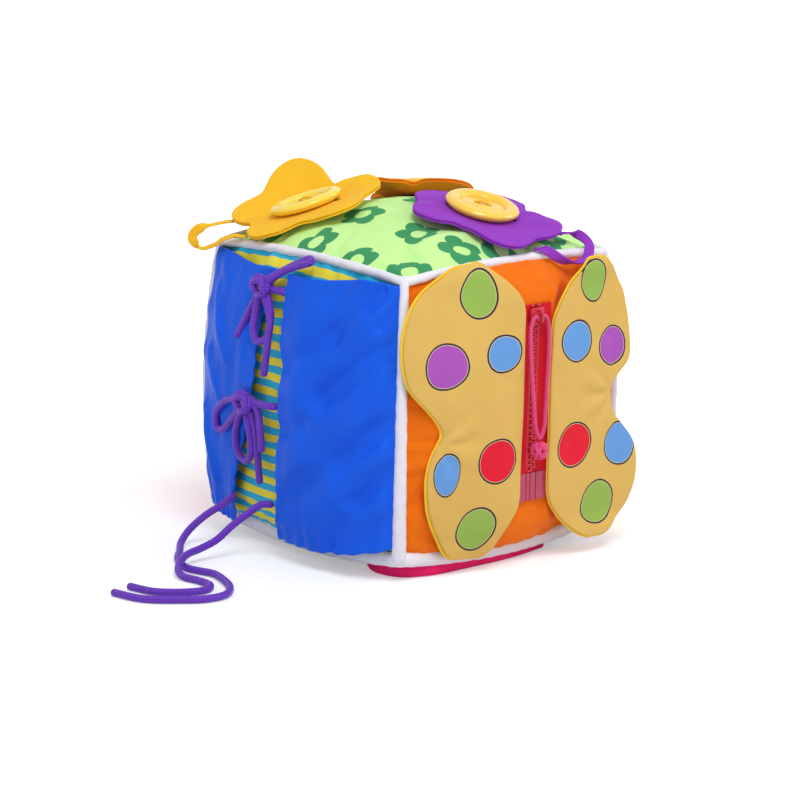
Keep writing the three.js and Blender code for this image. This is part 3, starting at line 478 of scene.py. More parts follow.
def frames_along(path, closed=False):
    """Two directions across the path at each place. A closed path shares out what would be left open."""
    last = len(path) - 1
    turns = []
    for k in range(last + 1):
        ahead = path[(k + 1) % last] if closed else path[min(k + 1, last)]
        behind = path[(k - 1) % last] if closed else path[max(k - 1, 0)]
        turns.append((ahead - behind).normalized())
    side = turns[0].orthogonal().normalized()
    sides = []
    for k, along in enumerate(turns):
        if k:
            side = turns[k - 1].rotation_difference(along) @ side
        side = (side - along * side.dot(along)).normalized()
        sides.append(side)
    left = 0
    if closed:
        left = math.atan2(sides[-1].cross(sides[0]).dot(turns[0]), sides[-1].dot(sides[0]))
    frames = []
    for k, (side, along) in enumerate(zip(sides, turns)):
        side = Matrix.Rotation(left * k / last, 3, along) @ side
        frames.append((side, along.cross(side)))
    return frames


def add_cord(bm, path, radius, sides=10, relief=0.0, pitch=4.8, closed=False):
    """Rolls a grid round a path. Its ends close in a dome, and its strands stand out by a relief."""
    frames = frames_along(path, closed)
    steps = len(path) - 1
    length = run_length(path)
    size = radius if callable(radius) else lambda run: radius

    def place(run, round_):
        k = round(run * steps)
        angle = 2 * math.pi * round_
        end = 9 if closed else min(k, steps - k)
        width = size(run) * (0, 0.75, 1)[min(end, 2)]
        strand = max(abs(math.sin(math.pi * run * length / pitch * 2 + way * angle)) for way in (2, -2))
        width *= 1 + relief * (strand - 0.85)
        side, over_ = frames[k]
        return path[k] + side * width * math.cos(angle) + over_ * width * math.sin(angle)

    laid_grid(bm, steps, sides, place, length * MM, 1)


def cord_piece(name, path, radius, finish, **shape):
    bm = bmesh.new()
    add_cord(bm, path, radius, **shape)
    return piece(bm, name, finish)


# %% [markdown]
# ## The loose ties
# Each curtain has a length of 4 mm cord on it at every tie. The lowest pair is undone: it leaves the two
# free edges, hangs to the ground and lies there in a crossing curve. The points follow the frame's route,
# and the cut ends are melted to a blunt tip so that they don't fray.

# %% Loose ties
CORD_RADIUS = 2
TIE_ROUTES = {
    "left": [
        (-90.8, 37.1, 28.4), (-96.5, 40.5, 22.5), (-104, 46, 16.5), (-112, 50.5, 8.5), (-120, 47.5, 3.6),
        (-127.6, 39, 2.2), (-137, 29, 2.1), (-142.8, 19, 2.1), (-145.4, 10, 2.1), (-143.5, 2, 2.1),
        (-141.3, -6, 2.1), (-145.1, -19.8, 2.1), (-151.2, -31.3, 2.1), (-161.1, -39.4, 2.1),
        (-172.7, -39.2, 2.1), (-183.9, -32.4, 2.1), (-197.7, -19.1, 2.1), (-202.6, 0.8, 2.1),
    ],
    "right": [
        (-93.8, 1.7, 29.6), (-98.5, 7, 29.2), (-104, 10.4, 25), (-111.5, 14.3, 19), (-120, 18, 11.2),
        (-129, 20, 7.7), (-138, 18.5, 6.9), (-146.5, 14, 6), (-153.5, 8, 3.6), (-156.9, 0, 2.2),
        (-155.4, -11, 2.1), (-156, -21, 2.1), (-162.5, -26.5, 2.1), (-172, -24.4, 2.1),
        (-184.9, -13.4, 2.1), (-189.7, 4.3, 2.1),
    ],
}

for side, route in TIE_ROUTES.items():
    path = smooth_path(route, 0.9)
    tie = cord_piece(f"untied_{side}_cord", path, CORD_RADIUS, purple_braid, relief=0.1, sides=14)
    length = run_length(path) * MM
    stand_for(tie, f"loose_tie_{side}", f"{side}_curtain", "purple_cord")
    print(tie.name, "is", round(length / MM), "mm long")

# %% [markdown]
# ## The form of the block
# The cube was cut as six squares. The filling swells each face, bows its seams out, and lifts the lower
# corners off the ground. These functions give the same faces as the frame has, so that whatever is sewn on
# lies on them. The zip's tapes hold their face flat up its middle.

# %% Faces of the cube
EDGE = 146
SEAM_BOW = 4.5
SEAM_LIFT = 12
TOP_CROWN = 21
SIDE_CROWN = 15.5
CROWN_POWER = 2.4
FLAT_SHARE = 0.76
HALF = EDGE / 2
MIDDLE = SEAM_LIFT + HALF
REACH = HALF + SEAM_BOW
ZIP_LEVEL = REACH + SIDE_CROWN
CENTRE = Vector((0, 0, MIDDLE))
FACES = {
    "top": (Vector((0, 0, 1)), Vector((1, 0, 0)), Vector((0, 1, 0)), TOP_CROWN),
    "bottom": (Vector((0, 0, -1)), Vector((1, 0, 0)), Vector((0, -1, 0)), SIDE_CROWN),
    "zip": (Vector((0, -1, 0)), Vector((1, 0, 0)), Vector((0, 0, 1)), SIDE_CROWN),
    "striped": (Vector((-1, 0, 0)), Vector((0, -1, 0)), Vector((0, 0, 1)), SIDE_CROWN),
    "back": (Vector((0, 1, 0)), Vector((-1, 0, 0)), Vector((0, 0, 1)), SIDE_CROWN),
    "side": (Vector((1, 0, 0)), Vector((0, 1, 0)), Vector((0, 0, 1)), SIDE_CROWN),
}


def swell(x):
    return 1 - abs(x) ** CROWN_POWER


def zip_swell(u, v):
    beyond = max(0, abs(v) - FLAT_SHARE) / (1 - FLAT_SHARE)
    return swell(u) * mix(1 - beyond**2, swell(v), ease(0.14, 0.55, abs(u)))


def skin(face, u, v, inset=0):
    """A point of a face at shares u across and v up, from -1 to 1, set back by an inset."""
    out, across, up, crown = FACES[face]
    half = HALF - inset
    puff = crown * (zip_swell(u, v) if face == "zip" else swell(u) * swell(v))
    return (
        CENTRE
        + across * u * (half + SEAM_BOW * (1 - v * v))
        + up * v * (half + SEAM_BOW * (1 - u * u))
        + out * (half + SEAM_BOW * (1 - u * u * v * v) + puff)
    )


def normal_at(surface, u, v, step=1e-3):
    across = surface(u + step, v) - surface(u - step, v)
    up = surface(u, v + step) - surface(u, v - step)
    return across.cross(up).normalized()


def over(face, u, v, height):
    """A point at a height over the cloth of a face."""
    surface = lambda a, b: skin(face, a, b)
    return surface(u, v) + normal_at(surface, u, v) * height


def over_at(face, across, up, height):
    """The same at distances from the face's middle."""
    u, v = across / REACH, up / REACH
    for _ in range(6):
        u, v = (across / (HALF + SEAM_BOW * (1 - min(1, v * v))),
                up / (HALF + SEAM_BOW * (1 - min(1, u * u))))
    return over(face, u, v, height)


print("the zip lies", ZIP_LEVEL, "mm in front of the block's middle")

# %% [markdown]
# ## The cloth cover
# Cloth that is sewn along its edges and stuffed hard can't lie smooth. It has a little more length than the
# seams allow, so it puckers along them. That is what a cloth simulation is good at: the cube is pinned along
# its seams, its cloth is let grow by a few hundredths, and the filling presses from inside. Its swell is
# known already, so only the puckers are kept: the slow part of each point's move is smoothed out of it.

# %% A cube of fine squares
SQUARES = 48
SIDES = list(FACES)


def side_of(place):
    return max(SIDES, key=lambda name: FACES[name][0].dot(place))


def cube_of_cloth(squares, inset=0):
    """A cube whose faces are grids, laid on the block's form, with each face's chart and number."""
    bm = bmesh.new()
    bmesh.ops.create_cube(bm, size=2)
    bmesh.ops.subdivide_edges(bm, edges=bm.edges[:], cuts=squares - 1, use_grid_fill=True)
    cut = bm.loops.layers.uv.new("cut")
    for face in bm.faces:
        name = side_of(face.calc_center_median())
        face.material_index = SIDES.index(name)
        _, across, up, _ = FACES[name]
        for loop in face.loops:
            loop[cut].uv = [(1 + way.dot(loop.vert.co)) * HALF * MM for way in (across, up)]
    seams = []
    for vert in bm.verts:
        name = side_of(vert.co)
        _, across, up, _ = FACES[name]
        seams.append(sorted(abs(c) for c in vert.co)[1] > 0.999)
        vert.co = skin(name, across.dot(vert.co), up.dot(vert.co), inset)
    return bm, seams


# %% Puckers from a simulation
PRESSURE = 4
CLOTH_GROWTH = 0.07  # how much more cloth there is than the form needs
PUCKER_LIMIT = 3.2
SIM_FRAMES = 20


def held(place):
    """Where the cloth can't move: under the zip's tapes, and where the block stands."""
    tapes = place.y < -ZIP_LEVEL + 3 and abs(place.x) < 13
    return tapes or place.z < 1.5


def puckered_cover():
    bm, seams = cube_of_cloth(SQUARES)
    cover = piece(bm, "cover", turn_out=False)
    mesh = cover.data
    start = [vert.co.copy() for vert in mesh.vertices]
    pins = cover.vertex_groups.new(name="sewn")
    pins.add([k for k, place in enumerate(start) if seams[k] or held(place / MM)], 1, "REPLACE")
    moves = [Vector() for _ in start]
    cloth_maker = cover.modifiers.new("stuffed", "CLOTH")
    settings = cloth_maker.settings
    settings.quality = 5
    settings.mass = 0.15
    settings.tension_stiffness = 20
    settings.compression_stiffness = 20
    settings.shear_stiffness = 8
    settings.bending_stiffness = 0.06
    settings.use_pressure = True
    settings.uniform_pressure_force = PRESSURE
    settings.shrink_min = -CLOTH_GROWTH
    settings.effector_weights.gravity = 0
    settings.vertex_group_mass = "sewn"
    cloth_maker.point_cache.frame_end = SIM_FRAMES
    for step in range(1, SIM_FRAMES + 1):
        bpy.context.scene.frame_set(step)
    shaped = cover.evaluated_get(bpy.context.evaluated_depsgraph_get()).to_mesh()
    moves = [vert.co - place for vert, place in zip(shaped.vertices, start)]
    cover.modifiers.remove(cloth_maker)
    bpy.context.scene.frame_set(1)
    slow = bmesh.new()
    slow.from_mesh(mesh)
    for vert, move in zip(slow.verts, moves):
        vert.co = move
    for _ in range(30):
        bmesh.ops.smooth_vert(slow, verts=slow.verts[:], factor=0.5, use_axis_x=True, use_axis_y=True,
                              use_axis_z=True)
    puckers = [move - vert.co for move, vert in zip(moves, slow.verts)]
    slow.free()
    for vert, place, pucker, sewn in zip(mesh.vertices, start, puckers, seams):
        share = 0 if sewn else min(1, PUCKER_LIMIT * MM / max(pucker.length, 1e-9))
        vert.co = place + pucker * share
        vert.co.z = max(vert.co.z, 0)
    print("the puckers reach", round(max(p.length for p in puckers) / MM, 2), "mm")
    return cover


cover = puckered_cover()

# %% [markdown]
# Each face of that cover is one panel of cloth, so it is taken off as a piece of its own. The zip's panel is
# cut open behind the teeth. The hidden sides are plain, as cloth of two more of the block's colours.

# %% Six panels
PANEL_FINISH = {
    "top": (green_print, "green_print"),
    "bottom": (white_poplin, "white_cloth"),
    "zip": (orange_poplin, "orange_cloth"),
    "striped": (striped_poplin, "striped_cloth"),
    "back": (magenta_poplin, "magenta_cloth"),
    "side": (yellow_poplin, "yellow_cloth"),
}
SLOT = {"half": 2.6, "low": 53, "high": 140}


def cut_slot(bm):
    """Opens the zip's panel behind the teeth."""
    for place, way in (
        ((-SLOT["half"], 0, 0), (1, 0, 0)), ((SLOT["half"], 0, 0), (1, 0, 0)),
        ((0, 0, SLOT["low"]), (0, 0, 1)), ((0, 0, SLOT["high"]), (0, 0, 1)),
    ):
        bmesh.ops.bisect_plane(bm, geom=bm.verts[:] + bm.edges[:] + bm.faces[:], plane_co=place,
                               plane_no=way, dist=1e-4)
    inside = [
        face for face in bm.faces
        if abs(face.calc_center_median().x) < SLOT["half"]
        and SLOT["low"] < face.calc_center_median().z < SLOT["high"]
    ]
    bmesh.ops.delete(bm, geom=inside, context="FACES")


for index, name in enumerate(SIDES):
    finish, slot = PANEL_FINISH[name]
    bm = bmesh.new()
    bm.from_mesh(cover.data)
    bmesh.ops.delete(bm, geom=[f for f in bm.faces if f.material_index != index], context="FACES")
    bmesh.ops.scale(bm, vec=(1 / MM, 1 / MM, 1 / MM), verts=bm.verts[:])
    for face in bm.faces:
        face.material_index = 0
    if name == "zip":
        cut_slot(bm)
    panel = piece(bm, f"{name}_cloth", finish, turn_out=False)
    thicken(panel, 1, offset=-1)
    stand_for(panel, f"{name}_panel", "block", slot)
bpy.data.objects.remove(cover)

# %% [markdown]
# ## The filling and the zip's pocket
# Under the cloth is a cube of loose fibre, a little lumpy, with a flat bottom where the block stands. A flat
# pouch of cloth is sewn behind the zip. Neither shows, but both are there when the panels are taken off.

# %% Filling
FILLING_SQUARES = 24
FILLING_INSET = 3.4
POCKET_ROOM = {"half": 13.4, "depth": 5, "middle": MIDDLE + 4, "half_height": 53}

bm, _ = cube_of_cloth(FILLING_SQUARES, FILLING_INSET)
for vert in bm.verts:
    lump = noise.noise(vert.co * 0.05) - 0.5
    vert.co += (vert.co - CENTRE).normalized() * min(0, lump)
    vert.co.z = max(vert.co.z, 1.5)
    if (abs(vert.co.x) < POCKET_ROOM["half"]
            and abs(vert.co.z - POCKET_ROOM["middle"]) < POCKET_ROOM["half_height"] and vert.co.y < 0):
        vert.co.y = max(vert.co.y, -ZIP_LEVEL + POCKET_ROOM["depth"])
for face in bm.faces:
    face.material_index = 0
filling = piece(bm, "fibre_filling", fibre, turn_out=False)
stand_for(filling, "stuffing", "block", "filling")


# %% Pocket
def pouch_place(across, up):
    low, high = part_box("zip_pocket")
    x, z = mix(low[0], high[0], across) / MM, mix(low[2], high[2], up) / MM
    full = swell(2 * across - 1) * swell(2 * up - 1)
    return Vector((x, low[1] / MM + 1.2 + 0.8 * (1 - full), z))


pouch = cloth_piece("pocket_lining", 8, 24, pouch_place, (26, 105), orange_poplin)
thicken(pouch, 0.8)
stand_for(pouch, "zip_pocket", "block", "orange_cloth")

# %% [markdown]
# ## The piping
# White piping is a strip of poplin sewn round a thin cord. It covers every seam of the cube, stands out of it
# by its radius, and wrinkles a little across its length, as a strip does that is bent round a cord.

# %% Piping
PIPING_RADIUS = 2.4
CORNER_RADIUS = 2.9
BOTTOM_PIPING_TALL = 1.6  # the strip round the bottom is the same one, pressed taller
CORNER_PIPING_FULL = (1.3, 0.8)  # at the bottom and at the top
PIPING_OVERLAP = 2  # how far a corner's strip runs into the ones round the top and the bottom


def seam_loop(level):
    """The seam round the top or the bottom, with its corners cut a little short."""
    places = []
    for edge in range(4):
        turn = Matrix.Rotation(edge * math.pi / 2, 3, "Z")
        for k in range(10):
            u = (2 * k / 9 - 1) * 0.975
            out = HALF + SEAM_BOW * (1 - u * u)
            places.append(turn @ Vector((u * HALF, -out, level * out)) + CENTRE)
    return places


def corner_seam(along_x, along_y):
    places = []
    for share in (-1, -0.75, -0.4, 0, 0.4, 0.75, 1):
        v = share * (1 + PIPING_OVERLAP / HALF)
        out = HALF + SEAM_BOW * (1 - v * v)
        places.append(Vector((along_x * out, along_y * out, MIDDLE + v * HALF)))
    return places


def bottom_seam_level(place):
    u = min(1, min(abs(place.x), abs(place.y)) / HALF)
    return MIDDLE - HALF - SEAM_BOW * (1 - u * u)


def piping(name, node, path, radius, closed=False, tall=1):
    """A tube with the small wrinkles of piping."""
    bm = bmesh.new()
    add_cord(bm, path, radius, sides=16, closed=closed)
    for vert in bm.verts:
        if tall != 1:
            level = bottom_seam_level(vert.co)
            vert.co.z = max(0.5, level + (vert.co.z - level) * tall)
        vert.co += noise.noise_vector(vert.co * 0.22) * 0.35 + noise.noise_vector(vert.co * 0.6) * 0.12
    stand_for(piece(bm, name, white_poplin), node, "block", "white_cloth")


for level, word in ((1, "top"), (-1, "bottom")):
    seam = seam_loop(level)
    start = len(seam) * 5 // 8  # where the loop closes, in the middle of the back
    path = smooth_path(seam[start:] + seam[:start], 1.6, closed=True)
    piping(f"{word}_seam_piping", f"{word}_piping", path, PIPING_RADIUS, closed=True,
           tall=BOTTOM_PIPING_TALL if level < 0 else 1)
for word, along_x, along_y in (("front", -1, -1), ("left", -1, 1), ("right", 1, -1), ("back", 1, 1)):
    piping(f"{word}_corner_piping", f"corner_piping_{word}", smooth_path(corner_seam(along_x, along_y), 1.6),
           lambda run: CORNER_RADIUS * mix(*CORNER_PIPING_FULL, run))

# %% [markdown]
# ## The zip
# A moulded zip: two woven tapes, acetal teeth that mesh up the middle, stops at the top, and a pin and box
# under stiffening film at the bottom. The slider has two plates, an arch and a loop of pink cord.

# %% Tapes and films
TAPE_UNDER_WING = 2.4  # how much further the tape runs, under the wing that is sewn over it


def strip_on_zip(name, node, finish, slot, wall, under_teeth=0):
    """A flat strip that takes its outline from the solid it stands for, with cloth's slight waves."""
    low, high = (Vector(corner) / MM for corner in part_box(node))
    side = math.copysign(1, low.x + high.x)
    inner, outer = sorted((abs(low.x), abs(high.x)))
    low.x, high.x = sorted((side * (under_teeth or inner), side * (outer + TAPE_UNDER_WING)))

    def place(across, up):
        x, z = mix(low.x, high.x, across), mix(low.z, high.z, up)
        wave = 0.12 * math.sin(z * 0.21 + x) * swell(2 * up - 1)
        return Vector((x, (low.y + high.y) / 2 + wave, z))

    made = cloth_piece(name, 6, 60, place, (high.x - low.x, high.z - low.z), finish)
    thicken(made, wall)
    stand_for(made, node, "block", slot)


for side in ("left", "right"):
    strip_on_zip(f"{side}_woven_tape", f"zip_tape_{side}", red_tape, "red_tape", 0.8, under_teeth=0.5)
    strip_on_zip(f"{side}_end_film", f"zip_end_film_{side}", rose_film, "film", 0.35)


# %% Teeth
TOOTH_PITCH = 3.1
TOOTH_REACH = 4.1  # past the middle, so that the two rows mesh
TOOTH_HEIGHT = 1.4
TOOTH_DEPTH = 2.1


def tooth_row(side, node):
    """One row: a cord-like bead, with a small bevelled block for every tooth."""
    low, high = (Vector(corner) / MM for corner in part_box(node))
    bm = bmesh.new()
    bm.loops.layers.uv.new("cut")
    depth = (low.y + high.y) / 2
    root = max(abs(low.x), abs(high.x)) - 0.2
    count = int((high.z - low.z) / TOOTH_PITCH)
    for k in range(count):
        z = low.z + TOOTH_PITCH * (k + (0.25 if side < 0 else 0.75))
        made = bmesh.ops.create_cube(bm, size=1)["verts"]
        for vert in made:
            vert.co = Vector((
                side * (root - TOOTH_REACH / 2 + vert.co.x * TOOTH_REACH),
                depth + vert.co.y * TOOTH_DEPTH,
                z + vert.co.z * (TOOTH_HEIGHT if vert.co.x < 0 else TOOTH_HEIGHT * 0.8),
            ))
    bmesh.ops.bevel(bm, geom=bm.edges[:], offset=0.35, segments=2, profile=0.5, affect="EDGES", material=-1)
    bead = [(side * (root - 0.4), depth, mix(low.z, high.z, k / 12)) for k in range(13)]
    add_cord(bm, smooth_path(bead, 2), 0.9, sides=8)
    row = piece(bm, f"{'left' if side < 0 else 'right'}_tooth_row", red_acetal)
    stand_for(row, node, "block", "red_plastic")


tooth_row(-1, "zip_teeth_left")
tooth_row(1, "zip_teeth_right")


# %% Blocks of the zip
def moulded_block(name, node, finish, slot, bevel):
    """A small moulded block over the box of its solid, with rounded edges."""
    low, high = (Vector(corner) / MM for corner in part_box(node))
    bm = bmesh.new()
    made = bmesh.ops.create_cube(bm, size=1)["verts"]
    bmesh.ops.scale(bm, vec=high - low, verts=made)
    bmesh.ops.translate(bm, vec=(low + high) / 2, verts=made)
    bmesh.ops.bevel(bm, geom=bm.edges[:], offset=bevel, segments=3, profile=0.5, affect="EDGES", material=-1)
    stand_for(piece(bm, name, finish), node, "block", slot)


moulded_block("left_stop", "zip_top_stop_left", red_acetal, "red_plastic", 0.4)
moulded_block("right_stop", "zip_top_stop_right", red_acetal, "red_plastic", 0.4)
moulded_block("pin", "zip_pin", rose_film, "red_plastic", 0.5)
moulded_block("box", "zip_box", rose_film, "red_plastic", 0.6)


# %% Slider
def slider_shape():
    low, high = (Vector(corner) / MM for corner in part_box("zip_slider"))
    arch_top = low.y
    face = arch_top + 4.2
    bm = bmesh.new()
    for near, far in ((face, face + 1.3), (high.y - 1.3, high.y)):
        made = bmesh.ops.create_cube(bm, size=1)["verts"]
        for vert in made:
            narrow = 0.78 if vert.co.z < 0 else 1
            vert.co = Vector((vert.co.x * (high.x - low.x) * narrow, mix(near, far, vert.co.y + 0.5),
                              mix(low.z, high.z, vert.co.z + 0.5)))
    for side in (-1, 1):
        made = bmesh.ops.create_cube(bm, size=1)["verts"]
        for vert in made:
            vert.co = Vector((side * (high.x - 0.4 + vert.co.x * 0.8), mix(face, face + 1.9, vert.co.y + 0.5),
                              mix(low.z + 1.6, high.z - 1.4, vert.co.z + 0.5)))
    bmesh.ops.bevel(bm, geom=bm.edges[:], offset=0.3, segments=2, profile=0.5, affect="EDGES", material=-1)
    middle = (low.z + high.z) / 2
    arch = [(0, face + 0.4, middle + 3), (0, face - 2.4, middle + 2.9), (0, arch_top + 0.7, middle + 1.6),
            (0, arch_top + 0.6, middle), (0, arch_top + 0.7, middle - 1.6), (0, face - 2.4, middle - 2.9),
            (0, face + 0.4, middle - 3)]
    add_cord(bm, smooth_path(arch, 0.6), 0.75, sides=10)
    return piece(bm, "slider_body", red_acetal)


stand_for(slider_shape(), "zip_slider", "slider", "red_plastic")

# %% [markdown]
# The pull is a thin pink cord threaded through the slider's arch. Its two strands hang side by side to a
# round knot. A knot is one cord that weaves over and under itself on a ball, so it is drawn as such a curve:
# a point that runs round the ball while it swings up and down, a little further out where it crosses over.

# %% Pull cord and knots
def woven_ball(bm, centre, radii, radius, leads=3, bights=4, steps=150, tilt=0.0, relief=0.1, pitch=3.0):
    """A cord wound into a ball: it circles a number of times while it swings up and down between bights."""
    turn = Matrix.Rotation(tilt, 3, "X")
    places = []
    for k in range(steps + 1):
        t = 2 * math.pi * leads * k / steps
        rise = 0.95 * math.sin(t * bights / leads)
        out = 1 + 0.14 * math.cos(t * bights / leads * 2 + 0.6)
        flat = math.sqrt(max(0.05, 1 - rise * rise))
        spot = Vector((radii[0] * flat * math.cos(t), radii[1] * flat * math.sin(t), radii[2] * rise)) * out
        places.append(Vector(centre) + turn @ spot)
    places[-1] = places[0].copy()
    add_cord(bm, evenly(places, radius * 0.5), radius, sides=10, relief=relief, pitch=pitch, closed=True)


PULL_SHARES = [(0.08, 0), (0.6, 0), (0.95, 0.07), (1, 0.25), (0.8, 0.55), (0.6, 0.8), (0.45, 0.92)]
PULL_SPREAD = 6.6
PULL_LENGTH = 64
PULL_TOP, PULL_LOW = 135.3, 100.4
PULL_NEAR = 97.85


def pull_strand(side):
    return [
        Vector((side * out * PULL_SPREAD, -mix(PULL_NEAR, PULL_LOW, down), PULL_TOP - down * PULL_LENGTH))
        for out, down in PULL_SHARES
    ]


pull_route = [*pull_strand(-1), Vector((0, -PULL_LOW, PULL_TOP - PULL_LENGTH)), *reversed(pull_strand(1))]
pull = cord_piece("pink_pull_loop", smooth_path(pull_route, 0.7), 1.15, pink_braid, relief=0.12, pitch=2.2)
stand_for(pull, "pull_cord", "pull", "pink_cord")

low, high = (Vector(corner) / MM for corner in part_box("pull_knot"))
bm = bmesh.new()
woven_ball(bm, (low + high) / 2, (3.2, 3.2, 4), 1.25, leads=4, bights=5, steps=220, pitch=2.2)
core = bmesh.ops.create_uvsphere(bm, u_segments=16, v_segments=10, radius=3)["verts"]
bmesh.ops.translate(bm, vec=(low + high) / 2, verts=core)
knot = piece(bm, "pink_pull_knot", pink_braid)
stand_for(knot, "pull_knot", "pull", "pink_cord")

# %% [markdown]
# With the slider down the cord would reach below the table, where a real one bunches up. Here the cord and
# its knot only get meshes of their own.

# %% Cord at the table
for hanging in (pull, knot):
    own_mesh(hanging)

# %% [markdown]
# ## The wings
# Each wing is a printed cloth in front and a bright yellow one behind, with thin wadding between, sewn to the
# block beside the zip. Its outline is a list of rows from the tip down: the height, and where the wing starts
# and ends across. The two cloths are two sheets, and the back one is a little larger, so it shows as a line.

# %% Wings
WING_ROWS = {
    "left": [
        (0.95, 0.39, 0.53), (0.935, 0.35, 0.6), (0.89, 0.29, 0.71), (0.83, 0.215, 0.83), (0.76, 0.15, 0.91),
        (0.68, 0.113, 0.955), (0.56, 0.11, 0.99), (0.44, 0.11, 1), (0.33, 0.11, 0.99), (0.22, 0.11, 0.96),
        (0.14, 0.11, 0.9), (0.07, 0.11, 0.835), (0, 0.11, 0.775), (-0.08, 0.112, 0.73), (-0.15, 0.115, 0.75),
        (-0.23, 0.117, 0.79), (-0.35, 0.118, 0.82), (-0.46, 0.12, 0.82), (-0.58, 0.12, 0.8),
        (-0.66, 0.135, 0.77), (-0.73, 0.172, 0.735), (-0.8, 0.213, 0.69), (-0.88, 0.25, 0.64),
        (-0.93, 0.29, 0.59), (-0.955, 0.35, 0.52),
    ],
    "right": [
        (0.94, 0.5, 0.59), (0.92, 0.465, 0.65), (0.87, 0.42, 0.715), (0.81, 0.345, 0.765), (0.75, 0.28, 0.8),
        (0.68, 0.215, 0.835), (0.56, 0.15, 0.862), (0.44, 0.14, 0.882), (0.33, 0.138, 0.895),
        (0.22, 0.136, 0.885), (0.14, 0.135, 0.815), (0.07, 0.135, 0.75), (0, 0.135, 0.725),
        (-0.08, 0.135, 0.745), (-0.15, 0.135, 0.785), (-0.23, 0.135, 0.85), (-0.35, 0.135, 0.95),
        (-0.46, 0.135, 0.99), (-0.58, 0.138, 1), (-0.66, 0.16, 0.985), (-0.73, 0.205, 0.96),
        (-0.8, 0.272, 0.915), (-0.88, 0.38, 0.845), (-0.94, 0.48, 0.765), (-0.975, 0.57, 0.68),
    ],
}
WING_HEIGHT, WING_WIDTH, WING_RAISE = 158, 79, 1.7
WING_THICKNESS, WING_LIFT = 2.6, 1.6
WING_CLOTH = 1.3  # one of its two sheets, with its half of the wadding
WING_FULLNESS = 0.5
BACK_CLOTH_SHOWS = 1.1
CHART_ROOM = 100  # keeps the wings' charts above nought
WAISTS = {"left": (59, -10), "right": (57, 4)}
SPOT_TONES = {"green": "#9ABC56", "purple": "#B058BE", "blue": "#6AA2E4", "red": "#EC1C34"}
SPOTS = {
    "left": [
        (33.8, 62.8, 10.4, 1, "green"), (56.4, 29.9, 11.2, 1, "purple"), (22.2, 33, 9.8, 1, "blue"),
        (25.8, -22.7, 10.6, 1, "red"), (54.6, -27.4, 10.6, 0.6, "blue"), (33.4, -57.6, 10.8, 1, "green"),
    ],
    "right": [
        (41.4, 64.8, 10.4, 0.85, "green"), (28.5, 33.7, 10.6, 1, "blue"), (56.9, 28, 10.2, 0.9, "purple"),
        (29.5, -22, 11.2, 1, "red"), (65, -26.8, 11, 0.95, "blue"), (49.4, -55.9, 11.6, 1, "green"),
    ],
}


def wing_wrinkles(word, x, z):
    """Soft noise all over, and folds that run out from the wing's waist."""
    waist_x, waist_z = WAISTS[word]
    away = math.hypot(x - waist_x, z - waist_z)
    angle = math.atan2(z - waist_z, x - waist_x)
    near = ease(0, 6, away) * (1 - ease(12, 34, away))
    soft = noise.noise(Vector((x * 0.06, z * 0.04, len(word)))) + 0.4 * noise.noise(Vector((x, z, 9)) * 0.13)
    return 1.1 * soft + 0.9 * near * math.sin(7 * angle + 0.06 * away)


def wing_piece(side, word, stand):
    rows = WING_ROWS[word]
    finish = cloth(
        f"wing poplin printed with spots, {word}", "#E6BE66", "#DDB054",
        spots([(x + CHART_ROOM, z + CHART_ROOM, radius, wide, SPOT_TONES[tone])
               for x, z, radius, wide, tone in SPOTS[word]]),
    )
    bm = bmesh.new()
    cut = bm.loops.layers.uv.new("cut")
    for layer, grown in ((0, 0), (1, BACK_CLOTH_SHOWS)):
        grid = bmesh.ops.create_grid(bm, x_segments=28, y_segments=72, size=0.5)["verts"]
        flat = {}
        for vert in grid:
            across, down = vert.co.x + 0.5, 0.5 - vert.co.y
            z = flow([row[0] for row in rows], down) * (WING_HEIGHT / 2 + grown)
            inner, outer = (flow([row[k] for row in rows], down) * WING_WIDTH for k in (1, 2))
            flat[vert] = (mix(inner, outer + grown, across), WING_RAISE + z)
        for face in {face for vert in grid for face in vert.link_faces}:
            face.material_index = layer
            for loop in face.loops:
                loop[cut].uv = [(place + CHART_ROOM) * MM for place in flat[loop.vert]]
        for vert in grid:
            full = min(1, 7 * (0.5 - max(abs(vert.co.x), abs(vert.co.y))))
            x, z = flat[vert]
            seam_lift = PIPING_RADIUS * ease(0.78, 0.96, max(x, abs(z)) / REACH)
            wrinkles = wing_wrinkles(word, x, z) * ease(0, 9, x - 8)
            height = WING_LIFT + WING_THICKNESS / 2 + seam_lift + wrinkles
            height += (0.5 - layer) * (WING_CLOTH + 2 * WING_FULLNESS * full)
            standing = Vector((side * x, -ZIP_LEVEL - height, MIDDLE + z))
            vert.co = over_at("zip", side * x, z, height).lerp(standing, stand)
    wing = piece(bm, f"{word}_butterfly_wing", finish, wing_lining)
    thicken(wing, WING_CLOTH)
    stand_for(wing, f"{word}_wing", f"{word}_wing", "wing_print")


wing_piece(-1, "left", 0.05)
wing_piece(1, "right", 0.8)

# %% [markdown]
# ## The curtains
# Two flaps of blue satin are sewn into the upright seams and hang over the striped panel, with a gap between
# them. Each has a turned hem along its free edges, about 5 mm wide, so it is thicker there. A slanting wave
# gives the satin its soft folds, and its creases are lines on the cloth, each with a height and a width.

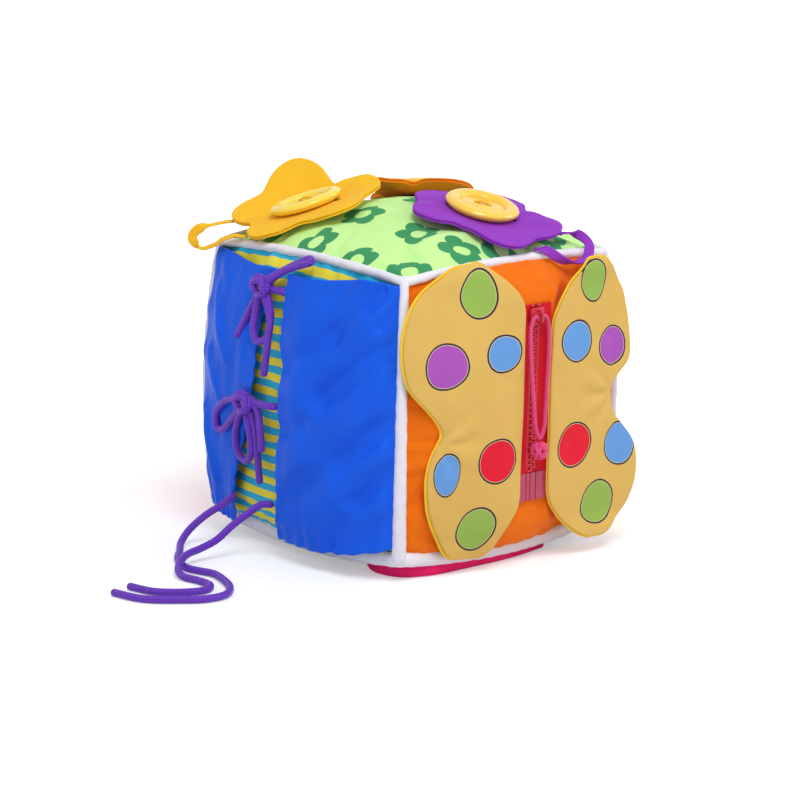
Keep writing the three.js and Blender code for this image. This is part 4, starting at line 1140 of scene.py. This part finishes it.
# %% Curtains
CURTAINS = {
    "right": {
        "seam": 0.985, "free": [-0.01, 0.06, 0.08, 0.095, 0.07, 0.02], "top": 0.85, "puff": 5.5,
        "folds": 2.2, "slant": 0.38, "depth": 1.4, "bulge": 0, "drop": 0,
        "creases": [
            ((0.02, 0.77), (0.55, 0.58), -6.5, 7), ((0.1, 0.95), (0.5, 0.81), -3.2, 6),
            ((0.5, 0.8), (1, 0.66), -4, 6), ((0.02, 0.5), (0.36, 0.35), -6.5, 7),
            ((0.04, 0.3), (0.25, 0.2), -5, 6), ((0.72, 0.47), (1, 0.42), -3.4, 6),
            ((0.5, 0.3), (0.9, 0.17), -3, 8), ((0.1, 0.12), (0.17, 0.02), -3, 4),
            ((0.35, 0.12), (0.47, 0.02), -2.6, 4), ((0.03, 0.93), (0.12, 0.84), -3.4, 3),
            ((0.1, 0.98), (0.2, 0.89), -2.8, 3),
        ],
    },
    "left": {
        "seam": -0.985, "free": [-0.57, -0.44, -0.29, -0.2, -0.2, -0.15], "top": 0.87, "puff": 0.8,
        "folds": 2.1, "slant": 0.95, "depth": 0.5, "bulge": 0.2, "drop": 0.05,
        "creases": [
            ((0.24, 0.86), (0.55, 0.64), 1.8, 4), ((0.26, 0.62), (0.66, 0.36), 2.2, 4),
            ((0.24, 0.4), (0.55, 0.15), 2, 4), ((0.5, 0.9), (0.85, 0.75), -1.6, 4),
            ((0.42, 0.46), (0.9, 0.24), -2, 5),
        ],
    },
}
HEM_SHARE, SEAM_TOP_SHARE = -0.905, 0.965
SEAM_FOLDS, SEAM_FOLD_DEPTH = 5.5, 1.3  # short folds that run in from the seam
HEM_WIDTH = 5
CURTAIN_SEAM_LIFT, CURTAIN_LIFT, CURTAIN_FLARE = 0.4, 1.6, 4.5
CURTAIN_WALL = 1
LEAST_PUFF = 0.6  # what the deepest crease leaves of the puff
EDGE_PUCKER, EDGE_PUCKER_PITCH = 0.4, 9


def crease_height(shape, share, up):
    """The ridges and valleys of a curtain. Each is a line on the cloth, with its height and its width."""
    size = Vector((EDGE / 2, EDGE))
    here = Vector((share, up)) * size
    height = 0
    for start, end, rise, width in shape["creases"]:
        start, end = (Vector(spot) * size for spot in (start, end))
        along = (here - start).dot(end - start) / (end - start).length_squared
        away = (here - start.lerp(end, min(1, max(0, along)))).length
        height += rise * math.exp(-((away / width) ** 2))
    return height


def curtain_place(shape, share, up):
    """A point of a curtain, from its seam to its free edge and from its hem up."""
    seed = shape["seam"] * 5
    u = mix(shape["seam"], flow(shape["free"], up), share)
    v = mix(HEM_SHARE - shape["drop"] * share, mix(SEAM_TOP_SHARE, shape["top"], ease(0, 0.8, share)), up)
    lift = mix(CURTAIN_SEAM_LIFT, CURTAIN_LIFT, ease(0, 0.1, share))
    warp = 0.35 * noise.noise(Vector((share * 1.7, up * 2.3, seed)))
    wave = 0.5 + 0.5 * math.sin(2 * math.pi * (shape["folds"] * (up + shape["slant"] * share) + warp))
    fold = shape["depth"] * wave**1.6 * ease(0, 0.3, share) * (1 - 0.6 * ease(0.8, 1, share))
    puff = shape["puff"] * (1 - 0.4 * ease(0.75, 1, share))
    fold += max(LEAST_PUFF, puff + crease_height(shape, share, up)) * ease(0, 0.1, share)
    short = 0.5 + 0.5 * math.sin(2 * math.pi * (SEAM_FOLDS * (up + 0.3 * share) + 2 * warp))
    fold += SEAM_FOLD_DEPTH * short**2 * ease(0.01, 0.1, share) * (1 - ease(0.15, 0.5, share))
    along_seam = (0.75 + 0.25 * math.sin(2 * math.pi * 2.3 * up + 1)) * (0.7 + 0.3 * ease(0, 0.2, 1 - up))
    bulge = shape["bulge"] * ease(0, 0.09, share) * (1 - ease(0.15, 0.75, share)) * along_seam
    flare = CURTAIN_FLARE * (1 - up) ** 2 * ease(0.05, 0.5, share)
    crumple = 0.5 + noise.noise(Vector((share * 3.1, up * 4.2, seed)))
    fine = 0.5 + noise.noise(Vector((share * 9, up * 5, seed * 2)))
    extra = (1.5 * crumple + 0.7 * fine) * ease(0.02, 0.2, share)
    runs = ((ease(0.86, 0.97, share), up * EDGE), (1 - ease(0.03, 0.12, up), share * EDGE / 2),
            (ease(0.9, 0.97, up) * (1 - ease(0.05, 0.35, share)), share * EDGE))
    pucker = sum(near * EDGE_PUCKER * math.sin(2 * math.pi * run / EDGE_PUCKER_PITCH) for near, run in runs)
    return over("striped", u, v, lift + CURTAIN_WALL / 2 + fold + bulge + flare + extra + pucker)


for word, shape in CURTAINS.items():
    width = run_length([curtain_place(shape, k / 40, 0.5) for k in range(41)])
    height = run_length([curtain_place(shape, 0.5, k / 40) for k in range(41)])
    curtain = cloth_piece(f"{word}_satin_curtain", 56, 80, lambda i, j: curtain_place(shape, i, j),
                          (width, height), blue_satin)
    hem = curtain.vertex_groups.new(name="hem")
    for vert, loop in ((curtain.data.loops[k].vertex_index, k) for k in range(len(curtain.data.loops))):
        across, up = curtain.data.uv_layers["cut"].data[loop].uv / MM
        near = min(width - across, up, height - up)
        hem.add([vert], 1 - 0.6 * ease(HEM_WIDTH - 1, HEM_WIDTH + 0.4, near), "REPLACE")
    thicken(curtain, 1.3, group="hem", thin=0.4)
    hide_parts(f"{word}_curtain")
    side = -1 if word == "right" else 1
    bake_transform(curtain)

# %% [markdown]
# ## The bows
# Two pairs of cords are tied in bows across the gap. Each bow is drawn strand by strand from its knot: the
# loops come back to it, and the ends hang down. The places are y, z and the height over the striped cloth.

# %% Bows
BOWS = {
    "upper": {
        "knot": (13, 142, 9.6),
        "strands": [
            [(12, 145, 9), (3, 151, 8), (-7, 156.5, 7.5), (-15, 159.5, 8), (-17, 158, 9), (-11, 156, 8.5),
             (-2, 153, 8), (6, 148, 8.5), (11, 143, 10)],
            [(15, 140, 9), (21, 131, 6.9), (26, 123, 6), (32, 114, 5.6)],
            [(11, 139, 9), (7, 133, 7.5), (4, 125, 6.6), (6, 118, 6.4), (12, 115.5, 6.8), (16, 120, 7),
             (16, 129, 7.5), (14, 138, 9)],
            [(10, 140, 8), (5.5, 131, 6.4), (4.5, 116, 6.2), (6, 98, 6)],
        ],
    },
    "lower": {
        "knot": (17, 83, 9.6),
        "strands": [
            [(19, 84, 9), (27, 83, 8), (38, 79, 7.8), (46, 71, 8), (46, 64, 8), (40, 64, 7.8), (30, 72, 7.8),
             (20, 81, 9)],
            [(18, 81, 9), (25, 73, 7.5), (29, 63, 6.8), (28, 54, 6.8), (21, 51, 7), (16, 56, 7),
             (15, 66, 7.5), (16, 78, 9)],
            [(14, 84, 9), (9, 82, 8), (7.5, 77, 7.5), (7, 69, 7), (7, 58, 6.8)],
            [(14, 80, 8), (12, 70, 6.5), (12.5, 57, 5.5), (14.5, 39, 5)],
        ],
    },
}
STUBS = {"upper": (142, 5.4), "lower": (84, 6.8)}


def over_stripes(y, z, height):
    return over_at("striped", -y, z - MIDDLE, height)


for word, bow in BOWS.items():
    bm = bmesh.new()
    for strand in bow["strands"]:
        path = smooth_path([over_stripes(*spot) for spot in strand], 0.9)
        add_cord(bm, path, CORD_RADIUS, sides=12, relief=0.1)
    centre = over_stripes(*bow["knot"])
    woven_ball(bm, centre, (3.8, 5, 4.6), CORD_RADIUS, leads=2, bights=3, tilt=0.5, relief=0)
    core = bmesh.ops.create_uvsphere(bm, u_segments=16, v_segments=10, radius=3)["verts"]
    bmesh.ops.translate(bm, vec=centre, verts=core)
    tied = piece(bm, f"{word}_cord_bow", purple_braid)
    stand_for(tied, f"{word}_bow", "left_curtain", "purple_cord")
    level, height = STUBS[word]
    knot_across, _, knot_height = bow["knot"]
    root = (
        (-4.5, 3.5), (0, height),
        (mix(0, knot_across, 0.6), height + 1.4), (knot_across - 1, knot_height - 1),
    )
    path = smooth_path([over_stripes(y, level, up) for y, up in root], 0.9)
    stub = cord_piece(f"{word}_cord_root", path, CORD_RADIUS, purple_braid, relief=0.1, sides=12)
    stand_for(stub, f"{word}_tie_stub", "right_curtain", "purple_cord")

# %% [markdown]
# ## The flowers
# Three flowers of two layers of cloth with wadding between, each with five petals. A slit through the middle
# is the buttonhole, drawn without the stitches that bind a real one's edge. The petals curl up as they please.

# %% Flowers
FLOWER_RADIUS, PETALS, PETAL_POINT = 40, 5, 0.8
FLOWER_THICKNESS, FLOWER_LIFT = 3, 0.5
FLOWER_CLOTH = 1.4  # one of its two sheets, with its half of the wadding
FLOWER_FULLNESS = 0.5
CURL_SPREAD, CURL_GROWTH = 2, 1
HOLE_HALF_LENGTH, HOLE_HALF_WIDTH = 18, 2.4
BUTTON_RADIUS = 20
FLOWERS = {
    "yellow": {
        "place": (-40, 39), "turn": 119, "curls": (7, 5, 3, 4, 29), "finish": yellow_poplin,
        "slot": "yellow_cloth", "button": lemon_abs, "turned": (0.45, 0.35), "waists": (30, 33, 32, 27, 34),
        "tether": [(-76, 75, 167.5), (-82.5, 82, 164), (-84.5, 83.5, 159.5), (-82.5, 79, 155), (-82, 70, 157),
                   (-80.8, 60, 162.3), (-78.8, 53, 164.6), (-77, 47, 164.4)],
    },
    "purple": {
        "place": (11, -40), "turn": -45, "curls": (7, 3, 1, 2, 5), "finish": purple_poplin,
        "slot": "purple_cloth", "button": yellow_abs, "turned": (0.5, 0.8), "waists": (29, 29, 33, 30, 34),
        "tether": [(51.5, -72.5, 170), (56, -77, 165.5), (50, -82.5, 159.5), (37, -84.5, 157.5),
                   (27, -84, 161), (21, -80.6, 165.4), (16, -75.8, 166)],
    },
    "orange": {
        "place": (46, 34), "turn": -47, "curls": (7, 5.5, 3.5, 6.5, 6.5), "finish": amber_poplin,
        "slot": "amber_cloth", "button": yellow_abs, "turned": (0.5, 0), "waists": (28, 28, 28, 30, 29),
        "tether": [(78, 3, 169.5), (84.5, -2.5, 167), (87.5, -5, 162.5), (85.5, -3, 158.5), (83.6, 4, 159.5),
                   (82.4, 11, 163), (79.5, 19, 165.8), (76.9, 26, 165.4)],
    },
}


def flower_surface(design):
    """The flower's middle surface at a radius and an angle, and its outline."""
    first = math.radians(design["turn"])

    def radius_at(angle):
        petal = PETALS * (angle - first) / (2 * math.pi)
        lobe = (0.5 + 0.5 * math.cos(2 * math.pi * petal)) ** PETAL_POINT
        return mix(design["waists"][int(petal) % PETALS], FLOWER_RADIUS, lobe)

    def surface(radius, angle, height=0):
        x = design["place"][0] + radius * math.cos(angle)
        y = design["place"][1] + radius * math.sin(angle)
        beyond = max(0, radius - BUTTON_RADIUS) / (FLOWER_RADIUS - BUTTON_RADIUS)
        curl = sum(
            curl * max(0, math.cos(angle - first - 2 * math.pi * k / PETALS)) ** CURL_SPREAD
            for k, curl in enumerate(design["curls"])
        )
        creases = 0.45 * math.sin(11 * angle + 3 * math.sin(2 * angle)) * ease(0.05, 0.5, beyond)
        height += FLOWER_LIFT + FLOWER_THICKNESS / 2 + curl * beyond**CURL_GROWTH
        return over_at("top", x, y, height + creases * (1 - ease(0.6, 1.1, beyond)))

    return first, radius_at, surface


for word, design in FLOWERS.items():
    first, radius_at, surface = flower_surface(design)
    bm = bmesh.new()
    for side in (-1, 1):

        def petal_place(round_, out):
            angle = first + 2 * math.pi * round_
            slit = min(HOLE_HALF_LENGTH, HOLE_HALF_WIDTH / max(1e-3, abs(math.sin(angle - first))))
            full = FLOWER_FULLNESS * ease(0, 0.2, out) * (1 - ease(0.72, 1, out))
            return surface(mix(slit, radius_at(angle), out), angle, side * (FLOWER_CLOTH / 2 + full))

        laid_grid(bm, 150, 20, petal_place, 200 * MM, 36 * MM)
    flower = piece(bm, f"{word}_quilted_flower", design["finish"])
    thicken(flower, FLOWER_CLOTH)
    stand_for(flower, f"{word}_flower", f"{word}_flower", design["slot"])

# %% [markdown]
# Each button is a moulded ABS disc, 40 mm across, with a thick round rim and a dish with two holes. It is
# spun from the profile of half its section, and the holes are drilled through the dish. A button stands on
# a shank of thread, and a bar of thread crosses its dish.

# %% Buttons
BUTTON_THICKNESS, BUTTON_RIM, BUTTON_DISH = 5.2, 8, 1.7
BUTTON_HOLE_RADIUS, BUTTON_HOLE_SPREAD = 1.6, 3.4
BUTTON_STANDOFF = 3.8


def set_on_top(bm, design, height):
    """Turns a piece drawn upright round its own axis, leans it with the cloth and sets it on the top."""
    x, y = design["place"]
    foot = over_at("top", x, y, 0)
    normal = (over_at("top", x, y, 1) - foot).normalized()
    lean = Vector((0, 0, 1)).rotation_difference(normal).to_matrix()
    turn = Matrix.Rotation(math.radians(design["turn"]), 3, "Z")
    bmesh.ops.rotate(bm, cent=(0, 0, 0), matrix=lean @ turn, verts=bm.verts[:])
    bmesh.ops.translate(bm, vec=foot + normal * height, verts=bm.verts[:])


def button_disc():
    dish = BUTTON_THICKNESS - BUTTON_DISH
    rim = BUTTON_RIM / 2
    bm = bmesh.new()
    profile = [(0, 0), (BUTTON_RADIUS - 2.2, 0)]
    for k in range(11):
        angle = math.radians(-60 + 24 * k)
        profile.append((
            BUTTON_RADIUS - rim + rim * math.cos(angle),
            BUTTON_THICKNESS / 2 + BUTTON_THICKNESS / 2 * math.sin(angle),
        ))
    profile += [(BUTTON_RADIUS - BUTTON_RIM - 1.6, dish), (0, dish)]
    verts = [bm.verts.new((x, 0, z)) for x, z in profile]
    edges = [bm.edges.new(pair) for pair in zip(verts, verts[1:])]
    bmesh.ops.spin(bm, geom=verts + edges, cent=(0, 0, 0), axis=(0, 0, 1), angle=2 * math.pi, steps=56,
                   use_merge=True)
    bmesh.ops.remove_doubles(bm, verts=bm.verts[:], dist=1e-3)
    bmesh.ops.recalc_face_normals(bm, faces=bm.faces[:])
    return bm


def drilled(disc, design):
    """Drills the two holes with a cutter that is removed afterwards."""
    drill = bmesh.new()
    for side in (-1, 1):
        made = bmesh.ops.create_cone(drill, cap_ends=True, segments=24, radius1=BUTTON_HOLE_RADIUS,
                                     radius2=BUTTON_HOLE_RADIUS, depth=20)["verts"]
        bmesh.ops.translate(drill, vec=(side * BUTTON_HOLE_SPREAD, 0, 0), verts=made)
    set_on_top(drill, design, BUTTON_STANDOFF)
    tool = piece(drill, "drill")
    cutter = disc.modifiers.new("holes", "BOOLEAN")
    cutter.object = tool
    cutter.solver = "EXACT"
    shaped = bpy.data.meshes.new_from_object(disc.evaluated_get(bpy.context.evaluated_depsgraph_get()))
    disc.modifiers.remove(cutter)
    disc.data = shaped
    bpy.data.objects.remove(tool)


for word, design in FLOWERS.items():
    bm = button_disc()
    set_on_top(bm, design, BUTTON_STANDOFF)
    disc = piece(bm, f"{word}_abs_button", design["button"])
    drilled(disc, design)
    soften = disc.modifiers.new("soften", "BEVEL")
    soften.width = 0.3 * MM
    soften.segments = 2
    soften.limit_method = "ANGLE"
    stand_for(disc, f"{word}_flower_button", "block", "button")
    bm = bmesh.new()
    crest = BUTTON_STANDOFF + BUTTON_THICKNESS - BUTTON_DISH + 0.9
    for shift in (-0.7, 0, 0.7):
        spread = BUTTON_HOLE_SPREAD
        bar = [(-spread, shift, 0.4), (-spread, shift, crest - 1), (-spread * 0.6, shift, crest),
               (spread * 0.6, shift, crest), (spread, shift, crest - 1), (spread, shift, 0.4)]
        add_cord(bm, smooth_path(bar, 0.5), 0.45, sides=8, relief=0.2, pitch=1.2)
    set_on_top(bm, design, 0)
    thread = piece(bm, f"{word}_sewing_thread", yellow_poplin)
    stand_for(thread, f"{word}_flower_thread", "block", "thread")

# %% [markdown]
# A flat tape of the flower's own cloth holds it to the block: it leaves from under one petal, loops out past
# the seam and is sewn into it. The real one bends when its flower is lifted. This one turns with the flower.

# %% Tethers
TETHER_WIDTH, TETHER_WALL, TETHER_SAG = 5.5, 1.1, 1.3
TETHER_TURNED = Vector((0.73, -0.68, 0))  # where the tape's width points once it has turned over
TETHER_TURN_SHARE = 0.22

for word, design in FLOWERS.items():
    first, _, surface = flower_surface(design)
    under = Vector((0, 0, -(FLOWER_THICKNESS + TETHER_WALL) / 2 - TETHER_SAG))
    start = [surface(share * FLOWER_RADIUS, first) + under for share in (0.78, 0.92)]
    path = smooth_path([*start, *design["tether"]], 1)
    across = Vector((-math.sin(first), math.cos(first), 0))
    middle, least = design["turned"]

    def tape_place(run, wide):
        spot = run * (len(path) - 1)
        k = min(int(spot), len(path) - 2)
        along = (path[k + 1] - path[k]).normalized()
        turned = max(least * ease(0, 0.2, run), 1 - ease(0, TETHER_TURN_SHARE, abs(run - middle)))
        way = across.lerp(TETHER_TURNED, turned)
        way = (way - along * way.dot(along)).normalized()
        return path[k].lerp(path[k + 1], spot - k) + way * ((wide - 0.5) * TETHER_WIDTH)

    tape = cloth_piece(f"{word}_cloth_tape", 70, 4, tape_place, (len(path), TETHER_WIDTH), design["finish"])
    thicken(tape, TETHER_WALL)
    stand_for(tape, f"{word}_tether", f"{word}_flower", design["slot"])

# %% [markdown]
# ## The strap
# A strip of magenta poplin is folded and sewn into the bottom seam under the zip. It hangs to the ground,
# tucks back under the block, and turns round the front corner, crumpled by its weight. Its route is seen
# from above, and its section is given as how far in it goes and how high.

# %% Strap
STRAP_WALL = 0.9
STRAP_GROUND = STRAP_WALL / 2 + 0.15
STRAP_ROUTE = [(-58, -36), (-67, -43), (-71, -54), (-67, -67), (-52, -75), (-25, -77), (8, -77), (34, -73)]
STRAP_SECTION = [(2.5, 8.5), (0.6, 7), (0, 3.5), (1, STRAP_GROUND), (5, STRAP_GROUND), (10, STRAP_GROUND)]

strap_route = smooth_path([(x, y, 0) for x, y in STRAP_ROUTE], 1)
strap_section = smooth_path([(0, inwards, height) for inwards, height in STRAP_SECTION], 1)


def on_path(path, share):
    spot = share * (len(path) - 1)
    k = min(int(spot), len(path) - 2)
    return path[k].lerp(path[k + 1], spot - k), (path[k + 1] - path[k]).normalized()


def strap_place(run, down):
    spot, along = on_path(strap_route, run)
    section = on_path(strap_section, down)[0]
    narrow = mix(0.45, 1, ease(0, 0.3, run))
    crumple = 2.2 * noise.noise(Vector((run * 9, down * 1.5, 3)))
    crumple += 0.8 * noise.noise(Vector((run * 30, down, 5)))
    place = spot + Vector((-along.y, along.x, 0)) * (section.y + crumple * ease(0, 3, section.z))
    place.z = STRAP_GROUND + (section.z - STRAP_GROUND) * narrow
    return place


strap_size = [run_length(path) for path in (strap_route, strap_section)]
strap = cloth_piece("magenta_strap", 110, 16, strap_place, strap_size, magenta_poplin)
thicken(strap, STRAP_WALL)
stand_for(strap, "bottom_strap", "block", "magenta_cloth")
print("the strap shows", [round(length) for length in strap_size], "mm of its cloth")

# %% [markdown]
# ## The floor and the light
# The block stands on a white table under a big soft lamp. The world and the far table look pure white to the
# camera, and the table still takes the block's shadow. The table's glow is weaker near the block, which paints
# a darker ground round it under the real shadow. The lamps are set so that white cloth is just white.

# %% Table
TABLE = 6
TABLE_LIFT = (0.33, 0.9)  # how much the table glows for the camera, near the block and further away
SHADOW_REACH = (0.16, 0.42)  # in metres


def seen_directly(tree):
    """1 for the rays that show the background: straight ones, and those in gloss and through glass."""
    ray = add_node(tree, "ShaderNodeLightPath")
    others = calc(tree, "MAXIMUM", ray.outputs["Is Glossy Ray"], ray.outputs["Is Transmission Ray"])
    return calc(tree, "MAXIMUM", ray.outputs["Is Camera Ray"], others)


def table_top():
    finish, tree = new_finish("matt white table")
    place = add_node(tree, "ShaderNodeTexCoord").outputs["Object"]
    away = add_node(tree, "ShaderNodeVectorMath", {0: place}, operation="LENGTH").outputs["Value"]
    # painted shade round the block: the camera-only glow is weaker near the block and full further away
    glow = add_node(tree, "ShaderNodeMapRange", {
        "Value": away, "From Min": SHADOW_REACH[0], "From Max": SHADOW_REACH[1],
        "To Min": TABLE_LIFT[0], "To Max": TABLE_LIFT[1],
    }, interpolation_type="SMOOTHSTEP").outputs[0]
    matt = add_node(tree, "ShaderNodeBsdfDiffuse", {"Color": linear("#EEEEF2")})
    lift = add_node(tree, "ShaderNodeEmission",
                    {"Color": (1, 1, 1, 1), "Strength": calc(tree, "MULTIPLY", seen_directly(tree), glow)})
    both = add_node(tree, "ShaderNodeAddShader", {0: matt.outputs[0], 1: lift.outputs[0]})
    add_node(tree, "ShaderNodeOutputMaterial", {"Surface": both.outputs[0]})
    return finish


bm = bmesh.new()
bmesh.ops.create_grid(bm, x_segments=1, y_segments=1, size=TABLE / 2 / MM)
table = piece(bm, "table", table_top())

# %% Light
world = bpy.data.worlds.new("soft room")
bpy.context.scene.world = world
world.use_nodes = True
world.node_tree.nodes.clear()
ROOM_LIGHT = 0.55
level = calc(world.node_tree, "MULTIPLY_ADD", seen_directly(world.node_tree), 1 - ROOM_LIGHT, ROOM_LIGHT)
room = add_node(world.node_tree, "ShaderNodeBackground", {"Color": (1, 1, 1, 1), "Strength": level})
add_node(world.node_tree, "ShaderNodeOutputWorld", {"Surface": room.outputs[0]})


def lamp(name, place, aim, size, power):
    light = bpy.data.lights.new(name, "AREA")
    light.shape = "DISK"
    light.size = size
    light.energy = power
    made = bpy.data.objects.new(name, light)
    made.location = place
    made.rotation_euler = (Vector(aim) - Vector(place)).to_track_quat("-Z", "Y").to_euler()
    bpy.context.scene.collection.objects.link(made)


lamp("main lamp", (-0.6, -1.0, 1.9), (0, 0, 0.1), 1.0, 20)
lamp("side lamp", (1.6, -1.0, 1.0), (0, 0, 0.1), 1.0, 7)
print("two lamps and a soft room")

# %% Finish
scene = bpy.context.scene
scene.view_settings.view_transform = "Standard"
